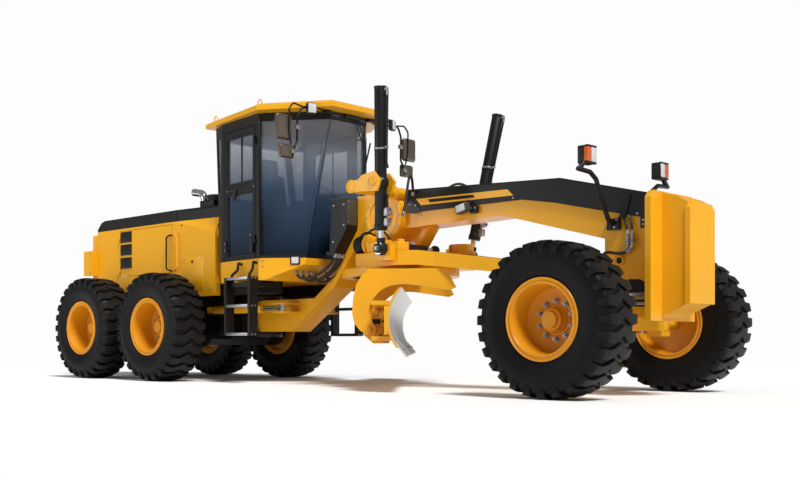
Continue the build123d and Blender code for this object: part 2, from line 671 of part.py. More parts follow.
# ---- lamp posts: bent tubes on the beam with a lamp housing each -----------------------------------
lamp_y = 790
lamp_head_y = 645
post_station = wheelbase + 50
post_foot = neck_half + seat_gap
with BuildPart() as headlamp_posts:
    for side in (-1, 1):
        path = [(215, 1556), (300, 1590), (400, 1740), (500, 1925), (600, 1980), (lamp_y, 1988)]
        points = [spot(post_station, side * y, z) for y, z in path]
        for start, end in zip(points, points[1:]):
            rod_between(start, end, 21)
            with Locations(end):
                Sphere(21)
        block(post_station - 60, post_station + 60, min(side * post_foot, side * 225),
              max(side * post_foot, side * 225), 1500, 1600)
        block(post_station - 50, post_station + 45, side * lamp_head_y - 75, side * lamp_head_y + 75,
              2045, 2200)
        rod_between(spot(post_station, side * (lamp_y - 15), 1988),
                    spot(post_station, side * (lamp_head_y + 40), 2070), 24)
headlamp_posts.part.label = "headlamp_posts"
export_step(headlamp_posts.part, "parts/headlamp_posts.step")

# ---- where the two lift cylinders stand, leaning out and forward from their rod eyes ----------------
lift_station = 4200
lift_eye_y = 750
lift_eye_z = 1450
lift_top = 3050
lift_barrel_end = 1640
lift_pivot_z = 2110
lift_lean_x = 0.1269
lift_lean_y = 0.1433
barrel_radius = 62
collar_radius = 84


def on_lift(side, z):
    """A point on a lift cylinder's axis at height z."""
    up = z - lift_eye_z
    return spot(lift_station + lift_lean_x * up, side * (lift_eye_y + lift_lean_y * up), z)


# ---- lift yoke: a cross tube on the saddle with forked arms that hold the lift cylinders -------------
with BuildPart() as lift_yoke:
    rod_between(spot(yoke_station, -965, yoke_z), spot(yoke_station, 965, yoke_z), yoke_radius)
    for side in (-1, 1):
        for y in (955, 733):
            with BuildSketch(side_plane.offset(-side * y)):
                Polygon((yoke_station - 40, 2035), (4340, 2010), (4385, 2120), (4300, 2215), (4130, 2190),
                        (4080, 2150), (yoke_station - 40, 2145), align=None)
            extrude(amount=15, both=True)
        pivot = on_lift(side, lift_pivot_z)
        rod_between(pivot - Vector(0, 105, 0), pivot + Vector(0, 105, 0), 28)
        with Locations(pivot):
            Sphere(collar_radius + seat_gap, mode=Mode.SUBTRACT)
lift_yoke.part.label = "lift_yoke"
export_step(lift_yoke.part, "parts/lift_yoke.step")

# ---- drawbar: a flat A frame from the ball at the nose back to the circle ---------------------------
bar_thick = 150
bar_nose = ball_station - 150
bar_rear = 3460
bar_flat_end = 4500
ear_end = 712
circle_station = 3800
circle_ring_bottom = 1195
bar_bottom = 1280
with BuildPart() as drawbar:
    with BuildSketch(side_plane):
        Polygon((bar_rear, bar_bottom), (bar_flat_end, bar_bottom), (bar_nose - 180, ball_z - 60),
                (bar_nose, ball_z - 45), (bar_nose, ball_z + 45), (bar_nose - 180, ball_z + 60),
                (bar_flat_end, bar_bottom + bar_thick), (bar_rear, bar_bottom + bar_thick), align=None)
    extrude(amount=700, both=True)
    with BuildSketch(top_plane):
        Polygon((bar_rear, -370), (3700, -600), (4330, -640), (4640, -430), (bar_nose - 180, -90),
                (bar_nose + 20, -60), (bar_nose + 20, 60), (bar_nose - 180, 90), (4640, 430), (4330, 640),
                (3700, 600), (bar_rear, 370), align=None)
        Polygon((4560, -270), (bar_nose - 660, -60), (bar_nose - 660, 60), (4560, 270), align=None,
                mode=Mode.SUBTRACT)
    extrude(amount=2500, mode=Mode.INTERSECT)
    for side in (-1, 1):
        block(4110, 4290, min(side * 560, side * ear_end), max(side * 560, side * ear_end), 1330, 1500)
    rod_between(spot(bar_nose - 20, 0, ball_z), spot(ball_station, 0, ball_z), 45)
    with Locations(spot(ball_station, 0, ball_z)):
        Sphere(ball_radius)
drawbar.part.label = "drawbar"
export_step(drawbar.part, "parts/drawbar.step")

# ---- circle: a toothed ring under the drawbar with two hooked arms, turned 39.4 degrees -------------
blade_turn = 39.4
ring_outer = 650
ring_inner = 530
ring_gap = 0.5
arm_offset = 850
arm_plate = 40
pin_n = -300
pin_z = 600
tilt_pin_radius = 32
blade_axis = Vector(sin(radians(blade_turn)), -cos(radians(blade_turn)), 0)
blade_face = Vector(cos(radians(blade_turn)), sin(radians(blade_turn)), 0)
circle_centre = spot(circle_station, 0, 0)
# the arms' hooked outline, as distances ahead of the circle's centre and heights
arm_outline = [
    (-300, 1240), (-365, 1168), (-421, 1079), (-449, 956), (-462, 822), (-460, 766), (-438, 676),
    (-387, 609), (-320, 562), (-240, 542), (-222, 575), (-215, 631), (-242, 670), (-270, 732),
    (-285, 777), (-286, 844), (-270, 888), (-242, 933), (-197, 988), (-153, 1027), (-97, 1055),
    (-42, 1071), (24, 1078), (80, 1081), (158, 1075), (543, 1017), (603, 1044), (545, 1150), (520, 1240),
]
# a plane across the blade: its x runs forward out of the blade face, its y is up
blade_plane = Plane(origin=circle_centre, x_dir=blade_face, z_dir=blade_face.cross(Vector(0, 0, 1)))


def blade_spot(along, ahead, z):
    """A point from distances along the blade's length, ahead of the circle's centre, and up."""
    return circle_centre + blade_axis * along + blade_face * ahead + Vector(0, 0, z)


with BuildPart() as circle:
    with BuildSketch(Plane(origin=circle_centre).offset(circle_ring_bottom)):
        Circle(ring_outer)
        Circle(ring_inner, mode=Mode.SUBTRACT)
    extrude(amount=bar_bottom - ring_gap - circle_ring_bottom)
    for side in (-1, 1):
        with BuildSketch(blade_plane.offset(side * arm_offset)):
            Polygon(*arm_outline, align=None)
        extrude(amount=arm_plate / 2, both=True)
        with Locations(Plane(origin=blade_spot(side * 0.5 * (580 + arm_offset), 0, 1217.5), x_dir=blade_face,
                             z_dir=(0, 0, 1))):
            Box(480, arm_offset - 580, 45)
    for side in (-1, 1):
        rod_between(blade_spot(side * (arm_offset - 150), pin_n, pin_z),
                    blade_spot(side * (arm_offset + 40), pin_n, pin_z), tilt_pin_radius)
circle.part.label = "circle"
export_step(circle.part, "parts/circle.step")

# ---- tilt frame: two brackets on the arm pins that carry the blade's slide rails ---------------------
bracket_offset = 740
bracket_plate = 50
rail_heights = (520, 860)
rail_thick = 40
rail_back = -215
rail_front = -10
with BuildPart() as tilt_frame:
    for side in (-1, 1):
        with BuildSketch(blade_plane.offset(side * bracket_offset)):
            Polygon((-350, 560), (-350, 640), (-300, 800), (-250, 910), (-155, 910), (-155, 470),
                    (-250, 470), align=None)
            with Locations((pin_n, pin_z)):
                Circle(62)
                Circle(tilt_pin_radius + seat_gap, mode=Mode.SUBTRACT)
            for z in rail_heights:
                with Locations(((rail_back - 0.5) / 2, z)):
                    Rectangle(-rail_back + 0.5, rail_thick + 1, mode=Mode.SUBTRACT)
        extrude(amount=bracket_plate / 2, both=True)
    rod_between(blade_spot(-bracket_offset, -275, 690), blade_spot(bracket_offset, -275, 690), 40)
tilt_frame.part.label = "tilt_frame"
export_step(tilt_frame.part, "parts/tilt_frame.step")

# ---- moldboard: a curved plate with two slide rails, and its cutting edge ----------------------------
blade_length = 3660
blade_shift = -30
rail_end_gap = 130
blade_low = 340
blade_high = 1000
board_radius = 430
board_thick = 22
board_lip = 82
with BuildPart() as moldboard:
    with BuildSketch(blade_plane.offset(blade_shift - blade_length / 2)):
        with BuildLine():
            RadiusArc((board_lip, blade_high), (board_lip - 30, blade_low + 90), -board_radius)
            Line((board_lip - 30, blade_low + 90), (board_lip - 30 - board_thick, blade_low + 90))
            RadiusArc((board_lip - 30 - board_thick, blade_low + 90), (board_lip - board_thick, blade_high),
                      board_radius)
            Line((board_lip - board_thick, blade_high), (board_lip, blade_high))
        make_face()
    extrude(amount=blade_length)
    for z in rail_heights:
        with BuildSketch(blade_plane.offset(blade_shift + rail_end_gap - blade_length / 2)):
            with Locations(((rail_back + rail_front) / 2, z)):
                Rectangle(rail_front - rail_back, rail_thick)
        extrude(amount=blade_length - 2 * rail_end_gap)
moldboard.part.label = "moldboard"
export_step(moldboard.part, "parts/moldboard.step")

edge_along = Vector(0.6235, -0.7818)
edge_ahead = Vector(0.7818, 0.6235)
edge_foot = Vector(board_lip - 30, blade_low + 90)
edge_run = 115
edge_lap = 55
edge_thick = 18
edge_outline = [
    edge_foot - edge_along * edge_lap + edge_ahead * 3.8,
    edge_foot + edge_ahead * seat_gap,
    edge_foot + edge_along * edge_run + edge_ahead * seat_gap,
    edge_foot + edge_along * (edge_run - 6) + edge_ahead * edge_thick,
    edge_foot - edge_along * edge_lap + edge_ahead * edge_thick,
]
with BuildPart() as cutting_edge:
    with BuildSketch(blade_plane.offset(blade_shift - blade_length / 2)):
        Polygon(*[(p.X, p.Y) for p in edge_outline], align=None)
    extrude(amount=blade_length)
cutting_edge.part.label = "cutting_edge"
export_step(cutting_edge.part, "parts/cutting_edge.step")

# ---- lift cylinders: barrels held in the yoke, rods down to the drawbar ------------------------------
bore_radius = 45
eye_gap = 9
rod_radius = 30
for name, side in (("right", -1), ("left", 1)):
    with BuildPart() as lift_barrel:
        rod_between(on_lift(side, lift_barrel_end), on_lift(side, lift_top), barrel_radius)
        with Locations(on_lift(side, lift_pivot_z)):
            Sphere(collar_radius)
        rod_between(on_lift(side, lift_barrel_end + 60), on_lift(side, lift_top - 40), bore_radius,
                    mode=Mode.SUBTRACT)
        rod_between(on_lift(side, lift_barrel_end - 10), on_lift(side, lift_barrel_end + 70),
                    rod_radius + pin_gap, mode=Mode.SUBTRACT)
    lift_barrel.part.label = f"lift_barrel_{name}"
    export_step(lift_barrel.part, f"parts/lift_barrel_{name}.step")
    with BuildPart() as lift_rod:
        rod_between(on_lift(side, lift_eye_z), on_lift(side, lift_top - 150), rod_radius)
        rod_between(spot(lift_station, side * (ear_end + eye_gap), lift_eye_z),
                    spot(lift_station, side * (lift_eye_y + 45), lift_eye_z), 62)
    lift_rod.part.label = f"lift_rod_{name}"
    export_step(lift_rod.part, f"parts/lift_rod_{name}.step")

# ---- articulation cylinders: barrels on the rear frame, rods to the neck ------------------------------
art_barrel_radius = 52
art_bore_radius = 38
art_rod_radius = 27
for name, side in (("right", -1), ("left", 1)):
    tail = spot(art_rear[0], side * art_rear[1], art_z)
    head = spot(art_front[0], side * art_front[1], art_z)
    along = (head - tail).normalized()
    with BuildPart() as art_barrel:
        rod_between(tail + along * 105, tail + along * 1000, art_barrel_radius)
        with Locations(tail):
            Cylinder(56, clevis_gap - 1)
        with Locations(Plane(origin=tail + along * 60, x_dir=along, z_dir=(0, 0, 1))):
            Box(120, 70, clevis_gap - 1)
        rod_between(tail + along * 150, tail + along * 960, art_bore_radius, mode=Mode.SUBTRACT)
        rod_between(tail + along * 950, tail + along * 1010, art_rod_radius + pin_gap, mode=Mode.SUBTRACT)
    art_barrel.part.label = f"art_barrel_{name}"
    export_step(art_barrel.part, f"parts/art_barrel_{name}.step")
    with BuildPart() as art_rod:
        rod_between(tail + along * 500, head, art_rod_radius)
        with Locations(head):
            Cylinder(52, clevis_gap - 1)
    art_rod.part.label = f"art_rod_{name}"
    export_step(art_rod.part, f"parts/art_rod_{name}.step")
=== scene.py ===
import bmesh
import bpy
from math import cos, hypot, pi, radians, sin
from mathutils import Matrix, Vector


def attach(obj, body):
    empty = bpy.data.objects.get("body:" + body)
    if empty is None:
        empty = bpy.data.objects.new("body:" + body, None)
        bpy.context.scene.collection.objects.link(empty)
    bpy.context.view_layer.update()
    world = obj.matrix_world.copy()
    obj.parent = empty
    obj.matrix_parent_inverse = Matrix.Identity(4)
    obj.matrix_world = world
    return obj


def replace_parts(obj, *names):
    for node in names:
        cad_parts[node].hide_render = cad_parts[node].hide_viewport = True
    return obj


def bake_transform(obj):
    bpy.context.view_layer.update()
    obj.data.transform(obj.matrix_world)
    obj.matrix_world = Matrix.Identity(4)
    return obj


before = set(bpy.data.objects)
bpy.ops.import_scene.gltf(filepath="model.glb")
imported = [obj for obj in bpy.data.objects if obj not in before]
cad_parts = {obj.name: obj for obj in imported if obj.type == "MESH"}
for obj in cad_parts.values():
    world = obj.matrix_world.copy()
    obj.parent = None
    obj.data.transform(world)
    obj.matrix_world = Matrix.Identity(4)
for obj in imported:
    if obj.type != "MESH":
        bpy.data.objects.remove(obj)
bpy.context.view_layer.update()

# Where the viewer stands: low beside the front wheel, looking back along the machine's right side.
# The view is level, so upright edges stay upright, and is shifted to bring the whole machine in.
def stand(name, data):
    """A new object in the scene with this data."""
    made = bpy.data.objects.new(name, data)
    bpy.context.collection.objects.link(made)
    return made


camera_data = bpy.data.cameras.new("view")
camera_data.lens = 47.06
camera_data.shift_x = 0.1151
camera_data.shift_y = 0.1273
camera_data.clip_end = 400
camera = stand("view", camera_data)
camera.location = (8.748, -8.715, 0.487)
camera.rotation_euler = (radians(90), 0, radians(46.57))
bpy.context.scene.camera = camera

# A plain pale studio: a wide floor, an even sky, a soft key light like the sun's, a weak fill, and a small
# lamp beside the rear end. The sky looks bright, but it lights the machine only faintly.
def linear(code):
    """An sRGB hex colour as the linear colour that nodes take."""
    parts = [int(code[i:i + 2], 16) / 255 for i in (1, 3, 5)]
    return tuple(c / 12.92 if c <= 0.04045 else ((c + 0.055) / 1.055) ** 2.4 for c in parts) + (1,)


def plug(node, **links):
    """Gives each named input of a node a value, or links it to a socket; _6 means the input numbered 6."""
    for name, value in links.items():
        socket = node.inputs[int(name[1:])] if name[0] == "_" else node.inputs[name.replace("_", " ")]
        if isinstance(value, bpy.types.NodeSocket):
            node.id_data.links.new(value, socket)
        else:
            socket.default_value = value


def add(tree, kind, settings=None, **links):
    """Adds a node to a material, with its settings and its inputs."""
    node = tree.nodes.new(kind)
    for name, value in (settings or {}).items():
        setattr(node, name, value)
    plug(node, **links)
    return node


def material(name, **links):
    """A new material with these inputs of its shader given; returns it, its node tree and its shader."""
    made = bpy.data.materials.new(name)
    made.use_nodes = True
    shader = made.node_tree.nodes["Principled BSDF"]
    plug(shader, **links)
    return made, made.node_tree, shader


world = bpy.data.worlds.new("studio")
bpy.context.scene.world = world
world.use_nodes = True
seen = add(world.node_tree, "ShaderNodeLightPath").outputs["Is Camera Ray"]
glow = add(world.node_tree, "ShaderNodeMapRange", Value=seen, To_Min=0.25, To_Max=0.98)
plug(world.node_tree.nodes["Background"], Color=linear("#FFFFFF"), Strength=glow.outputs[0])
bpy.context.scene.view_settings.view_transform = "Standard"

sun_data = bpy.data.lights.new("key", "SUN")
sun_data.angle = radians(14)
sun_data.energy = 3.0
stand("key", sun_data).rotation_euler = Vector((-7.2, 2.6, -10.4)).to_track_quat("-Z", "Y").to_euler()
for name, spot, target, size, power in [
    ("fill", (12.0, 6.0, 5.0), (2.0, 0.0, 1.2), 6.0, 60),
    ("side", (-4.5, -7.5, 3.2), (-2.6, -0.6, 1.6), 3.0, 115),
]:
    lamp_data = bpy.data.lights.new(name, "AREA")
    lamp_data.size = size
    lamp_data.energy = power
    lamp = stand(name, lamp_data)
    lamp.location = spot
    lamp.rotation_euler = (Vector(target) - Vector(spot)).to_track_quat("-Z", "Y").to_euler()

floor_mesh = bpy.data.meshes.new("floor")
shape = bmesh.new()
bmesh.ops.create_grid(shape, x_segments=1, y_segments=1, size=150)
shape.to_mesh(floor_mesh)
shape.free()
stand("floor", floor_mesh)
floor_mesh.materials.append(
    material("pale_floor", Base_Color=linear("#FBFBFB"), Roughness=0.9, Specular_IOR_Level=0.0)[0])

# Enamel on steel plate, sprayed and baked, so it is glossy with a faint orange peel: amber on the body and
# the castings, charcoal on the cab, covers and grille, black on the running gear and the fittings.
def enamel(name, code, dust_code, rough, coat, **links):
    """A sprayed paint: its own colour with faint patches, dust low down, and a fine orange peel."""
    paint, tree, shader = material(name, Coat_Weight=coat, Coat_Roughness=0.12, **links)
    base = linear(code)
    place = add(tree, "ShaderNodeTexCoord").outputs["Object"]
    patches = add(tree, "ShaderNodeTexNoise", Vector=place, Scale=1.3, Detail=4.0, Roughness=0.6)
    height = add(tree, "ShaderNodeSeparateXYZ", Vector=place).outputs["Z"]
    low = add(tree, "ShaderNodeMapRange", {"clamp": True}, Value=height, From_Min=1.3, From_Max=0.2)
    grit = add(tree, "ShaderNodeTexNoise", Vector=place, Scale=9.0, Detail=8.0, Roughness=0.7).outputs["Fac"]
    dust = add(tree, "ShaderNodeMath", {"operation": "MULTIPLY"}, _0=low.outputs[0], _1=grit)
    dust = add(tree, "ShaderNodeMath", {"operation": "MULTIPLY"}, _0=dust.outputs[0], _1=0.35)
    tint = add(tree, "ShaderNodeMix", {"data_type": "RGBA"}, _0=patches.outputs["Fac"],
               _6=tuple(c * 0.93 for c in base[:3]) + (1,), _7=tuple(min(1, c * 1.06) for c in base[:3]) + (1,))
    dusty = add(tree, "ShaderNodeMix", {"data_type": "RGBA"}, _0=dust.outputs[0], _6=tint.outputs[2],
                _7=linear(dust_code))
    gloss = add(tree, "ShaderNodeMapRange", Value=grit, To_Min=rough - 0.06, To_Max=rough + 0.1)
    peel = add(tree, "ShaderNodeTexNoise", Vector=place, Scale=160.0, Detail=2.0)
    bump = add(tree, "ShaderNodeBump", Strength=0.06, Distance=0.002, Height=peel.outputs["Fac"])
    plug(shader, Base_Color=dusty.outputs[2], Roughness=gloss.outputs[0], Normal=bump.outputs[0])
    return paint


def finish_node(name, paint, width=0.004):
    """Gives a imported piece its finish, and rounds its plate edges."""
    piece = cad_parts[name]
    piece.data.materials.clear()
    piece.data.materials.append(paint)
    if width:
        piece.modifiers.new("weld", "WELD").merge_threshold = 0.0001
        bevel = piece.modifiers.new("edges", "BEVEL")
        bevel.width = width
        bevel.segments = 2
        bevel.limit_method = "ANGLE"
        bevel.angle_limit = radians(28)
        bevel.harden_normals = True


amber = enamel("amber_enamel", "#F3AE18", "#86703F", 0.32, 0.15, Specular_IOR_Level=0.35)
charcoal = enamel("charcoal_enamel", "#0D0D0F", "#2E2B28", 0.44, 0.05, Specular_IOR_Level=0.35)
black = enamel("black_enamel", "#09090A", "#2A2724", 0.42, 0.08, Specular_IOR_Level=0.35)
for paint, names in (
    (amber, ("hood_panels", "rear_cowl", "engine_door_right", "engine_door_left", "cab_base", "cab_roof",
             "front_frame", "counterweight", "front_axle", "knuckle_right", "knuckle_left", "lift_yoke",
             "drawbar", "circle", "tilt_frame", "moldboard", "art_barrel_right", "art_barrel_left")),
    (charcoal, ("hood_cover", "radiator_grille", "cab_frame", "cab_door_right", "cab_door_left",
                "frame_cover")),
    (black, ("tandem_drive", "rear_chassis", "cab_steps", "cab_mirrors", "valve_box", "headlamp_posts",
             "lift_barrel_right", "lift_barrel_left")),
):
    for name in names:
        finish_node(name, paint)

# Zinc plate on nuts, bolts, clamps and hose fittings: steel electroplated in a bath and left as it is, an
# even dull silver.
zinc = material("zinc_plate", Base_Color=linear("#A9ABAE"), Metallic=1.0, Roughness=0.38)[0]

# Wheels. The tyres are moulded in black rubber, with zigzag traction bars right across and a smooth wall;
# the bars' tops are scuffed greyer, which the "scuff" attribute marks. The rims are pressed steel dishes
# in the body's amber, each held on its hub by ten plated nuts; their amber is painted deeper, as painted
# shade for the shadow in their deep dishes.
sides = (("right", -1), ("left", 1))
tandem_station = 2.770
half_track = 1.080
tyre_radius = 0.674
bar_count = 28
# how far across, radius there, shift round the tyre, half its width round the tyre
bar_rows = [(0.2175, 0.560, 0.0, 0.030), (0.2215, 0.628, 0.0, 0.036), (0.203, 0.662, 0.0, 0.042),
            (0.150, 0.672, -0.004, 0.046), (0.105, 0.674, -0.006, 0.050), (0.050, 0.674, 0.024, 0.048),
            (0.0, 0.674, 0.056, 0.046)]
bar_rows += [(-across, radius, shift, half) for across, radius, shift, half in reversed(bar_rows[:-1])]
carcass = [(0.331, 0.189), (0.365, 0.191), (0.372, 0.203), (0.392, 0.208), (0.400, 0.213), (0.470, 0.2185),
           (0.478, 0.221), (0.520, 0.2205), (0.575, 0.214), (0.620, 0.196), (0.640, 0.165), (0.648, 0.08),
           (0.650, 0.0)]
carcass += [(radius, -across) for radius, across in reversed(carcass[:-1])]
carcass += [(0.345, -0.150), (0.600, -0.120), (0.600, 0.120), (0.345, 0.150)]

rubber, tree, shader = material("moulded_rubber", Roughness=0.50, Specular_IOR_Level=0.18)
place = add(tree, "ShaderNodeTexCoord").outputs["Object"]
grit = add(tree, "ShaderNodeTexNoise", Vector=place, Scale=14.0, Detail=8.0, Roughness=0.7).outputs["Fac"]
scuff = add(tree, "ShaderNodeAttribute", {"attribute_name": "scuff"}).outputs["Fac"]
scuffed = add(tree, "ShaderNodeMath", {"operation": "MULTIPLY"}, _0=scuff, _1=grit)
tone = add(tree, "ShaderNodeMix", {"data_type": "RGBA"}, _0=scuffed.outputs[0], _6=linear("#060607"),
           _7=linear("#1E1C1B"))
bump = add(tree, "ShaderNodeBump", Strength=0.25, Distance=0.002, Height=grit)
plug(shader, Base_Color=tone.outputs[2], Normal=bump.outputs[0])


def x_at(station):
    """A distance forward of the tandem's middle as X, both in metres."""
    return station - tandem_station


def at(station, y, z):
    """A point that is given by its distance forward of the tandem's middle."""
    return (x_at(station), y, z)


def spun(shape, profile, steps):
    """Turns a closed profile of (radius, across) points about the wheel's axle, the Y axis."""
    points = [shape.verts.new((radius, across, 0)) for radius, across in profile]
    lines = [shape.edges.new(pair) for pair in zip(points, points[1:] + points[:1])]
    bmesh.ops.spin(shape, geom=points + lines, cent=(0, 0, 0), axis=(0, 1, 0), dvec=(0, 0, 0),
                   angle=2 * pi, steps=steps, use_merge=True, use_duplicate=False)


def make(name, shape, paint, body, sharp=40):
    """Turns a bmesh into a piece: merged, faces out, smooth up to an angle, on its body, in its finish."""
    bmesh.ops.remove_doubles(shape, verts=shape.verts, dist=0.00002)
    bmesh.ops.recalc_face_normals(shape, faces=shape.faces)
    mesh = bpy.data.meshes.new(name)
    shape.to_mesh(mesh)
    shape.free()
    mesh.materials.append(paint)
    mesh.shade_smooth()
    mesh.set_sharp_from_angle(angle=radians(sharp))
    made = stand(name, mesh)
    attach(made, body)
    return made


def traction_bar(shape):
    """One bar: an edge extruded across the tyre row by row, thickened inwards, its top edges eased."""
    row = None
    tops = []
    for across, radius, shift, half in bar_rows:
        if row is None:
            row = [shape.verts.new((0, 0, 0)), shape.verts.new((0, 0, 0))]
            edge = shape.edges.new(row)
        else:
            grown = bmesh.ops.extrude_edge_only(shape, edges=[edge])["geom"]
            edge = [g for g in grown if isinstance(g, bmesh.types.BMEdge) and
                    all(v in grown for v in g.verts)][0]
            tops += [g for g in grown if isinstance(g, bmesh.types.BMFace)]
            old = row
            row = list(edge.verts)
            if not any(row[0] in e.verts and old[0] in e.verts for e in shape.edges):
                row.reverse()
        for vert, side in zip(row, (-half, half)):
            turn = (shift + side) / tyre_radius
            vert.co = (radius * cos(turn), across, radius * sin(turn))
    rims = [e for f in tops for e in f.edges if len(e.link_faces) == 1]
    sunk = bmesh.ops.extrude_face_region(shape, geom=tops, use_keep_orig=True)["geom"]
    for vert in [g for g in sunk if isinstance(g, bmesh.types.BMVert)]:
        vert.co.x *= 0.94
        vert.co.z *= 0.94
        vert.co.y *= 0.955
    bmesh.ops.bevel(shape, geom=rims, offset=0.006, segments=1, profile=0.5, affect="EDGES", material=-1)


def move(shape, side, *spot):
    """Moves a piece made about the origin to a station, y and z, its outer face outwards."""
    bmesh.ops.transform(shape, matrix=Matrix.Translation(at(*spot)) @ Matrix.Diagonal((1, side, 1, 1)),
                        verts=shape.verts)


def rim_profile(disc):
    """The rim's section, its disc's outer face at this distance outboard of the wheel's middle."""
    lip = [(0.3565, 0.190), (0.3565, 0.202), (0.352, 0.207), (0.343, 0.207), (0.337, 0.200), (0.330, 0.196),
           (0.322, 0.199), (0.316, 0.204), (0.306, 0.204), (0.300, 0.197), (0.297, 0.180), (0.290, 0.150)]
    dish = [(0.285, disc + 0.050), (0.280, disc + 0.018), (0.268, disc + 0.004), (0.250, disc), (0.142, disc),
            (0.139, disc - 0.005), (0.134, disc - 0.005), (0.131, disc + 0.006), (0.116, disc + 0.008),
            (0.108, disc + 0.030), (0.100, disc + 0.036), (0.099, disc + 0.084), (0.093, disc + 0.092),
            (0.079, disc + 0.094), (0.075, disc + 0.098), (0.074, disc + 0.122), (0.069, disc + 0.129),
            (0.0, disc + 0.131)]
    back = [(0.0, disc + 0.120), (0.064, disc + 0.120), (0.064, disc - 0.024), (0.288, disc - 0.024),
            (0.300, -0.150), (0.304, -0.200), (0.316, -0.204), (0.330, -0.196), (0.343, -0.207),
            (0.352, -0.207), (0.3565, -0.202), (0.3565, -0.190), (0.329, -0.1895), (0.318, -0.170),
            (0.318, 0.170), (0.329, 0.1895)]
    return lip + dish + back


# Painted shade: the rims' amber is made deeper than the body's to stand for the shadow in their dishes; the
# dust low down is real.
rim_enamel_painted_shade = enamel("amber_enamel_painted_shade", "#E3960F", "#6E5230", 0.36, 0.1, Specular_IOR_Level=0.35)
wheels = [(f"{axle}_{name}", side, disc, (station, side * half_track, tyre_radius)) for axle, station, disc in (
    ("rear", -0.770, -0.083), ("middle", 0.770, -0.083), ("front", 6.500, -0.038)) for name, side in sides]
for wheel, side, disc, middle in wheels:
    body = f"wheel_{wheel}"
    shape = bmesh.new()
    traction_bar(shape)
    bmesh.ops.spin(shape, geom=shape.verts[:] + shape.edges[:] + shape.faces[:], cent=(0, 0, 0), axis=(0, 1, 0),
                   dvec=(0, 0, 0), angle=2 * pi * (bar_count - 1) / bar_count, steps=bar_count - 1,
                   use_merge=False, use_duplicate=True)
    spun(shape, carcass, 112)
    move(shape, side, *middle)
    tyre = make(f"traction_tyre_{wheel}", shape, rubber, body, 28)
    hub = Vector(at(*middle))
    scuffs = tyre.data.attributes.new("scuff", "FLOAT", "POINT")
    for vert, mark in zip(tyre.data.vertices, scuffs.data):
        radius = hypot(vert.co.x - hub.x, vert.co.z - hub.z)
        mark.value = 1.3 if radius > 0.655 else 0.35 if radius > 0.56 else 0.15
    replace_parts(tyre, f"tyre_{wheel}")

    shape = bmesh.new()
    spun(shape, rim_profile(disc), 96)
    move(shape, side, *middle)
    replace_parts(make(f"dished_rim_{wheel}", shape, rim_enamel_painted_shade, body, 30), f"rim_{wheel}")

    shape = bmesh.new()
    for count in range(10):
        turn = Matrix.Rotation(2 * pi * (count + 0.5) / 10, 4, "Y") @ Matrix.Translation((0.165, disc, 0))
        for radius, depth, corners in ((0.026, 0.010, 20), (0.021, 0.034, 6), (0.011, 0.052, 12)):
            bmesh.ops.create_cone(shape, cap_ends=True, segments=corners, radius1=radius, radius2=radius * 0.93,
                                  depth=depth, matrix=turn @ Matrix.Translation((0, depth / 2, 0))
                                  @ Matrix.Rotation(-pi / 2, 4, "X"))
    move(shape, side, *middle)
    make(f"wheel_nuts_{wheel}", shape, zinc, body, 30)

# Injection-moulded black plastic: the louvres, lamp housings, levers, air box and console. It is satin from
# the mould's fine grain, and slightly dusty.
moulded = enamel("moulded_black_plastic", "#0F1011", "#38342F", 0.5, 0.0)
finish_node("air_cleaner", moulded, 0.012)
finish_node("cab_controls", moulded, 0.008)

# Hard chrome, plated on ground steel: the exhaust elbow, the cylinders' rods and the tie rod. It is
# mirror-bright, with faint handling marks in its roughness.
chrome, tree, shader = material("hard_chrome", Base_Color=linear("#D9DBDE"), Metallic=1.0)
place = add(tree, "ShaderNodeTexCoord").outputs["Object"]
marks = add(tree, "ShaderNodeTexNoise", Vector=place, Scale=18.0, Detail=6.0)
gloss = add(tree, "ShaderNodeMapRange", Value=marks.outputs["Fac"], To_Min=0.06, To_Max=0.2)
plug(shader, Roughness=gloss.outputs[0])
for name in ("lift_rod_right", "lift_rod_left", "art_rod_right", "art_rod_left", "exhaust_pipe", "tie_rod"):
    finish_node(name, chrome, 0)

# Cast iron, poured in sand and painted a dull grey: the engine block. The circle's cut teeth are as dull,
# and share it.
iron = enamel("painted_cast_iron", "#2B2C2E", "#4A463F", 0.6, 0.0)
finish_node("engine", iron, 0.01)

# Hood: folded steel sheet with moulded louvres let into its two doors, round locks, a service cover, hinges
# and screws. The louvres' slats lean down and outwards; the bent bar that pulls the door is black, and its
# pair on the fixed side is amber.
def slab(shape, low, high, ease=0.004, turn=None, rounds=2):
    """A box between two corners with its edges eased; turn then moves it."""
    before = set(shape.verts)
    cube = bmesh.ops.create_cube(shape, size=1)["verts"]
    low, high = Vector(low), Vector(high)
    bmesh.ops.scale(shape, vec=high - low, verts=cube)
    bmesh.ops.translate(shape, vec=(low + high) / 2, verts=cube)
    edges = list({e for v in cube for e in v.link_edges})
    bmesh.ops.bevel(shape, geom=edges, offset=ease, segments=rounds, profile=0.5, affect="EDGES", material=-1)
    if turn is not None:
        bmesh.ops.transform(shape, matrix=turn, verts=[v for v in shape.verts if v not in before])


def side_slab(shape, side, near, far, ease=0.004, rounds=2):
    """A box on one side of the machine between two corners, each a station, a distance out and a height."""
    ends = sorted((side * near[1], side * far[1]))
    slab(shape, at(near[0], ends[0], near[2]), at(far[0], ends[1], far[2]), ease, None, rounds)


def drum(shape, start, end, radius, ease=0.003, corners=28, top=None):
    """A round bar from one point to another with its two rims eased; top is a second end's radius."""
    start, end = Vector(start), Vector(end)
    before = set(shape.verts)
    place = Matrix.Translation((start + end) / 2) @ (end - start).to_track_quat("Z", "Y").to_matrix().to_4x4()
    bmesh.ops.create_cone(shape, cap_ends=True, segments=corners, radius1=radius, depth=(end - start).length,
                          radius2=radius if top is None else top, matrix=place)
    fresh = [v for v in shape.verts if v not in before]
    rims = [e for e in {e for v in fresh for e in v.link_edges} if any(len(f.verts) > 4 for f in e.link_faces)]
    bmesh.ops.bevel(shape, geom=rims, offset=ease, segments=2, profile=0.5, affect="EDGES", material=-1)


